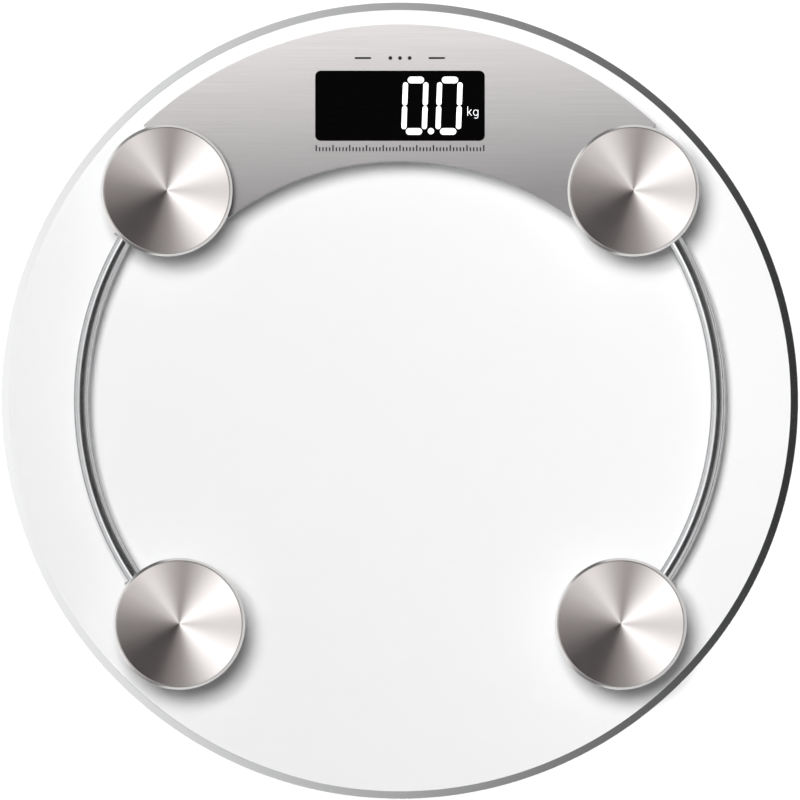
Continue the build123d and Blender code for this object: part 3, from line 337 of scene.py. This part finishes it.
def turned(name, profile, centre, columns, sharp_degrees=25.0):
    """A closed turned piece. Its profile starts and ends near the axis, where flat caps close it. The map
    named spin holds the distance along the profile across, and the angle as a share of a turn upwards."""
    rows = len(profile)
    points = lathe(profile, centre, columns)
    faces = grid_faces(rows, columns, close_columns=True)[:, ::-1].tolist()
    caps = [list(range(columns)), list(range((rows - 1) * columns, rows * columns))[::-1]]
    thing = mesh_object(name, points, faces + caps, sharp_degrees)
    along = np.concatenate([[0], np.cumsum(np.hypot(*np.diff(profile, axis=0).T))])
    across = np.repeat(along[:, None], columns + 1, axis=1)
    upward = np.repeat(np.linspace(0, 1, columns + 1)[None], rows, axis=0)
    both = np.stack([across, upward], axis=-1)
    quads = np.stack([both[:-1, :-1], both[:-1, 1:], both[1:, 1:], both[1:, :-1]], axis=2)[:, :, ::-1]
    cap_map = np.zeros((2 * columns, 2))
    layer = thing.data.uv_layers.new(name="spin")
    layer.data.foreach_set("uv", np.vstack([quads.reshape(-1, 2), cap_map]).ravel())
    return thing


def metal(name, light, dark, rough, patch=300, grain=3000, depth=0.000006):
    """A bare or plated metal: bright base with mottled colour, roughness and a faint grain."""
    material = moulded(name, light, dark, rough, grain, depth, patch)
    material.node_tree.nodes["Principled BSDF"].inputs["Metallic"].default_value = 1.0
    return material


spun_steel, tree, shader = new_material("spun_steel")
spin = add(tree, "ShaderNodeUVMap", {"uv_map": "spin"})
across = add(tree, "ShaderNodeSeparateXYZ", in0=spin.outputs[0])
rings = add(tree, "ShaderNodeTexNoise", {"noise_dimensions": "1D"},
            W=across.outputs["X"], Scale=RING_SCALE, Detail=3.0)
steel = mottled(tree, (0.82, 0.785, 0.775, 1), (0.79, 0.755, 0.745, 1), rough=(0.19, 0.21),
                patch=120, grain=900)
tree.links.new(steel.outputs["Colour"], shader.inputs["Base Color"])
tree.links.new(steel.outputs["Level"], shader.inputs["Roughness"])
slope = maths(tree, "MULTIPLY", across.outputs["X"], SPIN_SLOPE)
groove = maths(tree, "MULTIPLY", rings.outputs[0], RING_DEPTH)
bump = add(tree, "ShaderNodeBump", Strength=1.0, Distance=1.0, Height=maths(tree, "ADD", slope, groove))
radial = add(tree, "ShaderNodeTangent", {"direction_type": "UV_MAP", "uv_map": "spin"})
tree.links.new(bump.outputs[0], shader.inputs["Normal"])
tree.links.new(radial.outputs[0], shader.inputs["Tangent"])
shader.inputs["Metallic"].default_value = 1.0
shader.inputs["Anisotropic"].default_value = 0.85

polished_rim = metal("polished_rim", (0.90, 0.885, 0.875, 1), (0.84, 0.825, 0.815, 1), rough=(0.16, 0.24),
                     patch=55, grain=900, depth=0.000002)

disc_low, disc_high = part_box("steel_disc_toe_right")
disc_radius = (disc_high[0] - disc_low[0]) / 2
disc_top = disc_high[2]
face_radius = disc_radius - DISC_SHOULDER
bevel_radius = disc_radius - BEVEL_REACH
face_reach = np.linspace(HUB_RADIUS, face_radius, FACE_ROWS)
dished = np.column_stack([face_reach, disc_top - DISC_DISH * (1 - face_reach / face_radius)])
rim = np.array([
    [(face_radius + bevel_radius) / 2, disc_top - TURNED_LINE],
    [bevel_radius, disc_top],
    [bevel_radius + CREST_RUN, disc_top - CREST_FALL],
    [disc_radius - CORNER_RUN, disc_top - BEVEL_DROP + CORNER_RISE],
    [disc_radius, disc_top - BEVEL_DROP - CORNER_FALL],
    [disc_radius, disc_low[2]],
    [disc_radius - DISC_SHEET, disc_low[2]],
    [disc_radius - DISC_SHEET, disc_top - DISC_SHOULDER],
])
disc_profile = np.vstack([dished, rim, dished[::-1] - [0, DISC_SHEET]])
rim_start = len(dished) * DISC_COLUMNS
rim_end = (len(dished) + len(rim) - 1) * DISC_COLUMNS
for foot in FEET:
    disc = turned(f"spun_disc_{foot}", disc_profile, foot_centres[foot], DISC_COLUMNS, sharp_degrees=12)
    disc.data.materials.append(spun_steel)
    disc.data.materials.append(polished_rim)
    on_rim = np.zeros(len(disc.data.polygons), np.int32)
    on_rim[rim_start:rim_end] = 1
    disc.data.polygons.foreach_set("material_index", on_rim)
    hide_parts(f"steel_disc_{foot}")
    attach(disc, "platform")

# Screws: zinc plated steel with pan heads. They clamp the discs through the glass, and hold the
# load cells, the board and the two halves of the display housing.
screw_steel = metal("screw_steel", (0.70, 0.70, 0.72, 1), (0.58, 0.58, 0.60, 1), rough=(0.25, 0.4))
dress(["disc_screws", "load_cell_screws", "case_screws", "board_screws"], screw_steel)

# Foot housings and foot bases: grey moulded cups under the glass, and the ribbed plates that move in them.
# The disc screws hold the housings, and the push nuts hold the bases.
grey_plastic = moulded("grey_plastic", (0.56, 0.57, 0.58, 1), (0.50, 0.51, 0.52, 1), rough=(0.42, 0.58))
dress([f"foot_housing_{foot}" for foot in FEET], grey_plastic)
dress([f"foot_base_{foot}" for foot in FEET], grey_plastic)

# Load cells, push nuts and battery contacts: stamped from spring steel sheet.
# The strain gauges on the load cells are sealed in pale resin.
spring_steel = metal("spring_steel", (0.62, 0.61, 0.60, 1), (0.50, 0.49, 0.48, 1), rough=(0.28, 0.45))
dress([f"load_cell_{foot}" for foot in FEET] + [f"push_nut_{foot}" for foot in FEET], spring_steel)
dress(["battery_spring", "battery_clip"], spring_steel)
gauge_resin = moulded("gauge_resin", (0.78, 0.76, 0.68, 1), (0.70, 0.68, 0.60, 1), rough=(0.3, 0.45))
dress(["strain_gauges"], gauge_resin)

# Rubber feet: pads of black grip rubber that stand on the floor.
# They are moulded with round grooves and set in the foot bases.
foot_rubber = moulded("foot_rubber", (0.035, 0.035, 0.036, 1), grey(0.02), rough=(0.62, 0.82))
dress([f"rubber_foot_{foot}" for foot in FEET], foot_rubber)

# Tubes: thin steel tubes, bent to an arc and chrome plated. Their colour carries a painted shade along their
# sides.
# They carry the heel leads between the foot housings.
TUBE_WALL = 0.0005
TUBE_ROWS = 121
TUBE_COLUMNS = 48
END_TRIM = 0.5
EDGE_SHADE_SPAN = (0.14, 0.70)
EDGE_SHADE_SHARE = 0.85
EDGE_SHADE_COLOUR = (0.10, 0.10, 0.11, 1)
tube_chrome = metal("tube_chrome", (0.86, 0.87, 0.88, 1), (0.80, 0.81, 0.82, 1), rough=(0.14, 0.18),
                    patch=60, grain=900, depth=0.000001)
tree = tube_chrome.node_tree
shader = tree.nodes["Principled BSDF"]
plated = shader.inputs["Base Color"].links[0].from_socket
# Painted shade: the plated colour is mixed towards dark where the surface turns away from the view.
turned_away = add(tree, "ShaderNodeLayerWeight", Blend=0.5)
edge_shade = ranged(tree, turned_away.outputs["Facing"], EDGE_SHADE_SPAN, (0.0, EDGE_SHADE_SHARE))
tree.links.new(colour_mix(tree, edge_shade, plated, EDGE_SHADE_COLOUR), shader.inputs["Base Color"])


def bent_tube(name, reach, height, radius, start, end):
    """A round tube bent about the middle of the glass. Rows go along its outside and back along its inside,
    and columns go round it, so the walls and both cut ends close."""
    along = np.radians(np.linspace(start, end, TUBE_ROWS))
    path = np.concatenate([along, along[::-1]])[:, None]
    wall = np.repeat([radius, radius - TUBE_WALL], len(along))[:, None]
    around = np.radians(np.arange(TUBE_COLUMNS) * 360 / TUBE_COLUMNS)
    out = reach + wall * np.cos(around)
    points = np.stack([out * np.cos(path), out * np.sin(path), height + wall * np.sin(around)], axis=-1)
    faces = grid_faces(len(path), TUBE_COLUMNS, close_rows=True, close_columns=True)
    return mesh_object(name, points, faces if end > start else faces[:, ::-1])


for side in ("right", "left"):
    tube_low, tube_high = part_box(f"tube_{side}")
    tube_radius = (tube_high[2] - tube_low[2]) / 2
    tube_height = (tube_high[2] + tube_low[2]) / 2
    outer_reach = max(abs(tube_low[0]), abs(tube_high[0]))
    tube_reach = outer_reach - tube_radius
    toe_end = np.degrees(np.arcsin(tube_high[1] / outer_reach)) - END_TRIM
    heel_end = np.degrees(np.arcsin(tube_low[1] / outer_reach)) + END_TRIM
    if side == "left":
        toe_end = 180 - toe_end
        heel_end = 180 - heel_end
    tube = bent_tube(f"bright_tube_{side}", tube_reach, tube_height, tube_radius, heel_end, toe_end)
    tube.data.materials.append(tube_chrome)
    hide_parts(f"tube_{side}")
    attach(tube, "platform")

# Leads: thin cables in a dark sleeve, from the load cells to the board.
# The heel leads run inside the tubes and the toe leads pass through the housing walls.
lead_sleeve = moulded("lead_sleeve", (0.16, 0.16, 0.17, 1), (0.12, 0.12, 0.13, 1), rough=(0.45, 0.6))
dress(["heel_lead_left", "heel_lead_right", "toe_lead_left", "toe_lead_right"], lead_sleeve)

# Upper case: a moulded shell in silver paint with faint brushed lines, pressed up against the glass.
# Its colour carries painted light: pale at the outer edge, darker towards the inner edge, and a little paler
# to the left.
LINE_STRETCH = (18.0, 2600.0, 60.0)
SHEEN_LEAN = -0.1
SHEEN_SPAN = (0.080, 0.156)
INNER_SHADED_PAINT = (0.315, 0.305, 0.311, 1)
OUTER_LIT_PAINT = (0.87, 0.84, 0.833, 1)
LINE_SPAN = (0.25, 0.75)
LINE_TONE = (0.90, 1.04)
PAINT_ROUGH = (0.38, 0.52)
silver_paint, tree, shader = new_material("silver_paint")
place = tree.nodes.new("ShaderNodeTexCoord")
stretch = add(tree, "ShaderNodeMapping", in0=place.outputs["Object"], Scale=LINE_STRETCH)
lines = add(tree, "ShaderNodeTexNoise", in0=stretch.outputs[0], Scale=1.0, Detail=3.0)
span = add(tree, "ShaderNodeSeparateXYZ", in0=place.outputs["Object"])
# Painted light: a ramp from dark at the inner edge to pale at the outer edge, leaning paler to the left.
reach = maths(tree, "MULTIPLY_ADD", span.outputs["X"], SHEEN_LEAN, span.outputs["Y"])
painted_sheen = add(tree, "ShaderNodeValToRGB", Fac=ranged(tree, reach, SHEEN_SPAN))
painted_sheen.color_ramp.elements[0].color = INNER_SHADED_PAINT
painted_sheen.color_ramp.elements[1].color = OUTER_LIT_PAINT
streak = ranged(tree, lines.outputs[0], LINE_SPAN, LINE_TONE)
brushed_lines_and_sheen = colour_mix(tree, 1.0, painted_sheen.outputs[0], streak, blend="MULTIPLY")
paint_level = ranged(tree, lines.outputs[0], (0.0, 1.0), PAINT_ROUGH)
tree.links.new(brushed_lines_and_sheen, shader.inputs["Base Color"])
tree.links.new(paint_level, shader.inputs["Roughness"])
shader.inputs["Metallic"].default_value = 0.05
dress(["upper_case"], silver_paint)

# Printed marks: plain rules, dots and ticks on the silver panel, above and below the window.
# They are dark ink, printed in one thin layer.
PANEL_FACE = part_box("upper_case")[1][2]
INK = 0.00001
MARK_CORNERS = 7
DOT_RUN = 0.00001


def rounded_bars(name, starts, ends, halves, height, thickness, corner_points=12):
    """Flat bars with round ends. Each bar's outline is two half circles about its two ends. Its points go
    round the outline at both heights, with strips for the sides and one face above and one below."""
    starts = np.asarray(starts, float)
    ends = np.asarray(ends, float)
    halves = np.asarray(halves, float)[:, None]
    lean = np.arctan2(*(ends - starts).T[::-1])[:, None]
    half_turn = np.linspace(-90, 90, corner_points)
    far = np.radians(half_turn)[None] + lean
    near = np.radians(half_turn + 180)[None] + lean
    x = np.hstack([ends[:, :1] + halves * np.cos(far), starts[:, :1] + halves * np.cos(near)])
    y = np.hstack([ends[:, 1:] + halves * np.sin(far), starts[:, 1:] + halves * np.sin(near)])
    count, around = x.shape
    low = np.stack([x, y, np.full_like(x, height)], axis=-1)
    high = np.stack([x, y, np.full_like(x, height + thickness)], axis=-1)
    points = np.stack([low, high], axis=1)
    faces = []
    for bar in range(count):
        first = bar * 2 * around
        faces += grid_faces(2, around, close_columns=True, first=first).tolist()
        faces.append(list(range(first, first + around))[::-1])
        faces.append(list(range(first + around, first + 2 * around)))
    return mesh_object(name, points, faces)


TICKS = 51
LONG_EVERY = 5
TICK_SPAN = 0.0347
TICK_LINE = 0.1036
LONG_TICK = 0.0021
SHORT_TICK = 0.0012
TICK_HALF = 0.00029
tick_x = np.linspace(-TICK_SPAN, TICK_SPAN, TICKS)
tick_rise = np.where(np.arange(TICKS) % LONG_EVERY == 0, LONG_TICK, SHORT_TICK)
tick_foot = np.column_stack([tick_x, np.full(TICKS, TICK_LINE)])
tick_head = np.column_stack([tick_x, TICK_LINE + tick_rise])
RULE_LINE = 0.14197
RULE_ENDS = ((-0.0184, -0.0123), (0.0122, 0.0183))
RULE_HALF = 0.00040
rule_ends = np.array(RULE_ENDS)
rules = np.stack([rule_ends, np.full_like(rule_ends, RULE_LINE)], axis=-1)
DOT_PLACES = (-0.0040, 0.0, 0.0040)
DOT_HALF = 0.0008
dots = np.array([[[x, RULE_LINE], [x + DOT_RUN, RULE_LINE]] for x in DOT_PLACES])
mark_halves = np.repeat([RULE_HALF, DOT_HALF, TICK_HALF], [len(rules), len(dots), TICKS])
marks = rounded_bars(
    "printed_marks",
    np.vstack([rules[:, 0], dots[:, 0], tick_foot]),
    np.vstack([rules[:, 1], dots[:, 1], tick_head]),
    mark_halves, PANEL_FACE, INK, MARK_CORNERS)
dark_ink = moulded("dark_ink", (0.03, 0.03, 0.035, 1), (0.02, 0.02, 0.022, 1), rough=(0.4, 0.5))
marks.data.materials.append(dark_ink)
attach(marks, "platform")

# Window lens: a plate of smoked clear plastic that fills the window.
# It is glued under the panel.
smoked_lens, tree, shader = new_material("smoked_lens")
tint = mottled(tree, (0.30, 0.30, 0.31, 1), (0.26, 0.26, 0.27, 1), rough=(0.0, 0.01), patch=30, grain=300)
tree.links.new(tint.outputs["Colour"], shader.inputs["Base Color"])
tree.links.new(tint.outputs["Level"], shader.inputs["Roughness"])
shader.inputs["Transmission Weight"].default_value = 1.0
shader.inputs["IOR"].default_value = 1.2
see_through(tree, shader, tint=grey(0.3))
dress(["window_lens"], smoked_lens)

# Display panel: a plate of black display glass.
# It lies behind the lens, and the lit segments show on it.
panel_black = moulded("panel_black", (0.004, 0.004, 0.0045, 1), (0.002, 0.002, 0.0025, 1), rough=(0.3, 0.4))
dress(["display_panel"], panel_black)

# Lit digits: white segments on the display panel, six lit in each nought, with a round point between the
# noughts and the unit after them. They are thin flat shapes that glow.
SEGMENT_LIFT = 0.00002
SEGMENT_DEPTH = 0.00002
SEGMENT_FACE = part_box("display_panel")[1][2] + SEGMENT_LIFT
DIGIT_WIDTH = 0.0106
DIGIT_HEIGHT = 0.0241
DIGIT_LEAN = 0.036
DIGIT_FOOT = 0.1102
DIGIT_STARTS = (0.00045, 0.0146)
BAR_HALF = 0.00138
POST_HALF = 0.00106
BAR_INSET = 0.0033
POST_FOOT = 0.0034
POST_HEAD = 0.0109
POINT_X = 0.01274
POINT_Y = 0.0015
POINT_HALF = 0.00130
bar_heights = (BAR_HALF, DIGIT_HEIGHT - BAR_HALF)
post_sides = (POST_HALF, DIGIT_WIDTH - POST_HALF)
post_spans = ((POST_FOOT, POST_HEAD), (DIGIT_HEIGHT - POST_HEAD, DIGIT_HEIGHT - POST_FOOT))
zero_bars = np.array([[[BAR_INSET, y], [DIGIT_WIDTH - BAR_INSET, y]] for y in bar_heights])
zero_posts = np.array([[[x, foot], [x, head]] for x in post_sides for foot, head in post_spans])
zero = np.vstack([zero_bars, zero_posts])
point = np.array([[[POINT_X, POINT_Y], [POINT_X + DOT_RUN, POINT_Y]]])
bars = np.vstack([zero + [start, 0] for start in DIGIT_STARTS] + [point])
bars[:, :, 0] += bars[:, :, 1] * DIGIT_LEAN
bars[:, :, 1] += DIGIT_FOOT
zero_halves = np.repeat([BAR_HALF, POST_HALF], [len(zero_bars), len(zero_posts)])
halves = np.concatenate([zero_halves, zero_halves, [POINT_HALF]])
segments = rounded_bars("lit_segments", bars[:, 0], bars[:, 1], halves, SEGMENT_FACE, SEGMENT_DEPTH)


def stroked(name, paths, half, height, thickness, cap_points=8):
    """Letters drawn as strokes. A stroke's outline runs half a width to the right of its path, round the far
    end, back along the left and round the near end. It is set at both heights, with faces all round it."""
    points = []
    faces = []
    first = 0
    for path in paths:
        run = np.gradient(path, axis=0)
        lean = np.arctan2(run[:, 1], run[:, 0])
        aside = half * np.stack([np.sin(lean), -np.cos(lean)], axis=1)
        swing = np.linspace(-np.pi / 2, np.pi / 2, cap_points)[1:-1]
        far = swing + lean[-1]
        near = swing + lean[0] + np.pi
        far_cap = path[-1] + half * np.stack([np.cos(far), np.sin(far)], axis=1)
        near_cap = path[0] + half * np.stack([np.cos(near), np.sin(near)], axis=1)
        outline = np.vstack([path + aside, far_cap, (path - aside)[::-1], near_cap])
        around = len(outline)
        points += [at_height(outline, height), at_height(outline, height + thickness)]
        faces += grid_faces(2, around, close_columns=True, first=first).tolist()
        faces.append(list(range(first, first + around))[::-1])
        faces.append(list(range(first + around, first + 2 * around)))
        first += 2 * around
    return mesh_object(name, np.vstack(points), faces)


def oval_arc(centre, radii, start, end, count):
    """Points of an arc of an oval, from one angle to another: centre plus radii times cosine and sine."""
    angle = np.radians(np.linspace(start, end, count))
    return np.column_stack([centre[0] + radii[0] * np.cos(angle), centre[1] + radii[1] * np.sin(angle)])


STROKE_HALF = 0.00012
K_STEM = np.array([[0.02806, 0.11814], [0.02806, 0.12189]])
K_ARM = np.array([[0.02956, 0.12064], [0.02838, 0.11938]])
K_LEG = np.array([[0.02854, 0.11954], [0.02968, 0.11814]])
G_BOWL = oval_arc(centre=(0.03138, 0.11937), radii=(0.00095, 0.00113), start=38, end=322, count=28)
G_HOOK = oval_arc(centre=(0.03146, 0.11794), radii=(0.00087, 0.00090), start=0, end=-130, count=14)
G_STEM = np.vstack([[[0.03233, 0.12049], [0.03233, 0.11919]], G_HOOK])
letter_paths = [K_STEM, K_ARM, K_LEG, G_BOWL, G_STEM]
unit_letters = stroked("unit_letters", letter_paths, STROKE_HALF, SEGMENT_FACE, SEGMENT_DEPTH)

lit_white, tree, shader = new_material("lit_white")
glow = mottled(tree, grey(1.0), (0.94, 0.96, 1.0, 1), rough=(0.4, 0.5), patch=200, grain=900)
tree.links.new(glow.outputs["Colour"], shader.inputs["Base Color"])
tree.links.new(glow.outputs["Colour"], shader.inputs["Emission Color"])
tree.links.new(glow.outputs["Level"], shader.inputs["Roughness"])
shader.inputs["Emission Strength"].default_value = 3.6
for lit in (segments, unit_letters):
    lit.data.materials.append(lit_white)
    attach(lit, "platform")

# Backlight, contact strips and board: a diffusing plate, two bars of soft conductive rubber and a board of
# green laminate. They are stacked behind the display panel, and the board screws hold the board.
light_guide = moulded("light_guide", grey(0.85), grey(0.80), rough=(0.4, 0.5))
dress(["backlight"], light_guide)
strip_rubber = moulded("strip_rubber", (0.20, 0.20, 0.22, 1), (0.14, 0.14, 0.16, 1), rough=(0.55, 0.7))
dress(["contact_strips"], strip_rubber)
board_laminate = moulded("board_laminate", (0.03, 0.16, 0.07, 1), (0.02, 0.11, 0.05, 1), rough=(0.25, 0.4))
dress(["main_board"], board_laminate)

# Chip, switch, sensor and coin cell: the chip and the switch are black resin.
# The sensor is a drawn aluminium can and the coin cell is a stainless one.
black_resin = moulded("black_resin", grey(0.03), grey(0.02), rough=(0.35, 0.5))
dress(["driver_chip", "unit_switch"], black_resin)
sensor_can = metal("sensor_can", (0.75, 0.75, 0.76, 1), (0.66, 0.66, 0.67, 1), rough=(0.25, 0.4))
dress(["tap_sensor"], sensor_can)
coin_steel = metal("coin_steel", grey(0.74), grey(0.66), rough=(0.2, 0.35))
dress(["coin_cell"], coin_steel)

# Lower case, battery door, button and plunger: moulded plastic that closes the housing from below.
# The case is held by screws, the door slides, and the button and plunger move together.
dress(["lower_case"], grey_plastic)
door_plastic = moulded("door_plastic", (0.40, 0.405, 0.415, 1), (0.35, 0.355, 0.365, 1), rough=(0.4, 0.55))
dress(["battery_door"], door_plastic)
button_plastic = moulded("button_plastic", (0.20, 0.205, 0.21, 1), (0.16, 0.165, 0.17, 1), rough=(0.4, 0.55))
dress(["unit_button", "switch_plunger"], button_plastic)

# Floor: a wide plain sheet that shows white to the eye and in gloss and glass, and still takes shadows.
# From below it is clear, and a soft panel under it shows the underside, as on a glass table.
FLOOR_REACH = 8.0
FLOOR_DROP = 0.0002
FLOOR_GLOW = 0.03
floor_corners = np.array([[-1, -1, 0], [1, -1, 0], [1, 1, 0], [-1, 1, 0]])
floor_points = floor_corners * [FLOOR_REACH, FLOOR_REACH, 0] - [0, 0, FLOOR_DROP]
floor = mesh_object("floor_sheet", floor_points, [[0, 1, 2, 3]])
floor_white, tree, shader = new_material("floor_white")
tone = mottled(tree, grey(0.95), grey(0.945), rough=(0.9, 0.95), patch=3, grain=20)
tree.links.new(tone.outputs["Colour"], shader.inputs["Base Color"])
shader.inputs["Roughness"].default_value = 0.9
shader.inputs["Specular IOR Level"].default_value = 0.0
path = tree.nodes.new("ShaderNodeLightPath")
seen = maths(tree, "MAXIMUM", path.outputs["Is Camera Ray"], path.outputs["Is Glossy Ray"])
seen = maths(tree, "MAXIMUM", seen, path.outputs["Is Transmission Ray"])
lift = maths(tree, "MULTIPLY", seen, FLOOR_GLOW)
shader.inputs["Emission Color"].default_value = grey(1)
tree.links.new(lift, shader.inputs["Emission Strength"])
side = tree.nodes.new("ShaderNodeNewGeometry")
clear = tree.nodes.new("ShaderNodeBsdfTransparent")
passed = maths(tree, "MAXIMUM", side.outputs["Backfacing"], path.outputs["Is Shadow Ray"])
shown = add(tree, "ShaderNodeMixShader", Fac=passed, in1=shader.outputs[0], in2=clear.outputs[0])
tree.links.new(shown.outputs[0], tree.nodes["Material Output"].inputs["Surface"])
floor.data.materials.append(floor_white)

# Studio surround: bright at the left and dim at the right along the horizon, then a bright band with two
# dark gaps, soft bright and dark fields round the top, and dark straight overhead. Heights are sines of
# angles, and the fields are given as a light level at each heading in degrees.
FILL = 0.2
HORIZON_CURVE = 1.38
HORIZON_GAIN = 0.95
HORIZON_LEAST = 0.036
FIELDS = ((0, 0.275), (20, 0.145), (45, 0.052), (75, 0.17), (105, 0.62), (135, 1.60),
          (150, 1.58), (180, 1.0), (208, 1.62), (228, 1.46), (255, 0.61), (270, 0.49),
          (300, 1.07), (315, 0.84), (330, 0.65), (360, 0.275))
FIELD_SCALE = 2.0
WARMTH = 0.09
WARMTH_FALL = 2.0
GREEN_LOSS = 0.4
BLUE_LOSS = 0.6
GAP_SWING = -0.5
GAP_SPAN = (0.15, 0.33)
GAP_TO_BAND = (0.01, 0.9)
UNDER_LIGHT = 0.6
OVERHEAD_LIGHT = 0.03
HORIZON_RISE = (-0.06, -0.02)
BAND_RISE = (0.24, 0.30)
FIELD_RISE = (0.46, 0.54)
OVERHEAD_RISE = (0.80, 0.88)
world = bpy.data.worlds.new("studio_surround")
world.use_nodes = True
bpy.context.scene.world = world
tree = world.node_tree
heading = add(tree, "ShaderNodeSeparateXYZ", in0=tree.nodes.new("ShaderNodeTexCoord").outputs["Generated"])
turn = maths(tree, "ARCTAN2", heading.outputs["Y"], heading.outputs["X"])
share = maths(tree, "WRAP", maths(tree, "MULTIPLY", turn, 0.5 / np.pi), 1.0, 0.0)
swing = maths(tree, "COSINE", turn)
leftness = maths(tree, "MULTIPLY_ADD", swing, -0.5, 0.5)
curve = maths(tree, "POWER", leftness, HORIZON_CURVE)
horizon = maths(tree, "MULTIPLY_ADD", curve, HORIZON_GAIN, HORIZON_LEAST)
fields = add(tree, "ShaderNodeValToRGB", Fac=share)
fields.color_ramp.interpolation = "CARDINAL"
while len(fields.color_ramp.elements) < len(FIELDS):
    fields.color_ramp.elements.new(0.5)
for stop, (degrees, level) in zip(fields.color_ramp.elements, FIELDS):
    warm = WARMTH * np.exp(-WARMTH_FALL * level)
    part = level / FIELD_SCALE
    stop.position = degrees / 360
    stop.color = (part * (1 + warm), part * (1 - GREEN_LOSS * warm), part * (1 - BLUE_LOSS * warm), 1)
field_light = add(tree, "ShaderNodeVectorMath", {"operation": "SCALE"},
                  in0=fields.outputs[0], Scale=FIELD_SCALE)
off_gap = maths(tree, "ABSOLUTE", maths(tree, "ADD", swing, -GAP_SWING))
band = ranged(tree, off_gap, GAP_SPAN, GAP_TO_BAND, curve="SMOOTHSTEP")


def blend_up(below, above, span):
    """Goes from one light to the next as the direction rises through this span of heights."""
    rise = ranged(tree, heading.outputs["Z"], span, curve="SMOOTHSTEP")
    return colour_mix(tree, rise, below, above)


light = blend_up(grey(UNDER_LIGHT), horizon, HORIZON_RISE)
light = blend_up(light, band, BAND_RISE)
light = blend_up(light, field_light.outputs[0], FIELD_RISE)
light = blend_up(light, grey(OVERHEAD_LIGHT), OVERHEAD_RISE)
path = tree.nodes.new("ShaderNodeLightPath")
through = maths(tree, "MAXIMUM", path.outputs["Is Camera Ray"], path.outputs["Is Transmission Ray"])
unmirrored = maths(tree, "LESS_THAN", path.outputs["Glossy Depth"], 0.5)
behind = maths(tree, "MULTIPLY", through, unmirrored)
backdrop = colour_mix(tree, behind, light, grey(1))
tree.links.new(backdrop, tree.nodes["Background"].inputs["Color"])
seen = maths(tree, "MAXIMUM", through, path.outputs["Is Glossy Ray"])
level = maths(tree, "MULTIPLY_ADD", seen, 1.0 - FILL, FILL)
tree.links.new(level, tree.nodes["Background"].inputs["Strength"])


# Lamps: one soft panel high at the upper left, so that shadows fall to the lower right, and a weaker one
# under the floor. The surround already gives the metal its reflections, so the panels are left out of them.
def soft_panel(name, azimuth, elevation, distance, size, power):
    """A square lamp at this heading, height angle and distance from the origin, turned to face it."""
    heading = np.radians(azimuth)
    rise = np.radians(elevation)
    towards = np.array([np.cos(rise) * np.cos(heading), np.cos(rise) * np.sin(heading), np.sin(rise)])
    lamp = bpy.data.lights.new(name, "AREA")
    lamp.shape = "SQUARE"
    lamp.size = size
    lamp.energy = power
    holder = bpy.data.objects.new(name, lamp)
    holder.location = distance * towards
    holder.rotation_euler = (0, np.pi / 2 - rise, heading)
    holder.visible_glossy = False
    holder.visible_transmission = False
    bpy.context.scene.collection.objects.link(holder)


soft_panel("key_panel", azimuth=125, elevation=76, distance=6.0, size=2.0, power=374.0)
soft_panel("under_panel", azimuth=250, elevation=-70, distance=2.5, size=1.2, power=22.0)

# Camera: straight above the glass with a long lens, framed as the photograph is.
# The frame width is measured at the height of the glass.
LENS = 800.0
SENSOR = 36.0
FRAME_WIDTH = 0.33145
FRAME_HEIGHT = 0.021
FRAME_SHIFT = 0.00027
FAR_CLIP = 50.0
lens = bpy.data.cameras.new("camera")
lens.lens = LENS
lens.sensor_width = SENSOR
lens.clip_end = FAR_CLIP
camera = bpy.data.objects.new("camera", lens)
camera.location = (0.0, FRAME_SHIFT, FRAME_HEIGHT + FRAME_WIDTH * LENS / SENSOR)
bpy.context.scene.collection.objects.link(camera)
bpy.context.scene.camera = camera
bpy.context.scene.view_settings.view_transform = "Standard"
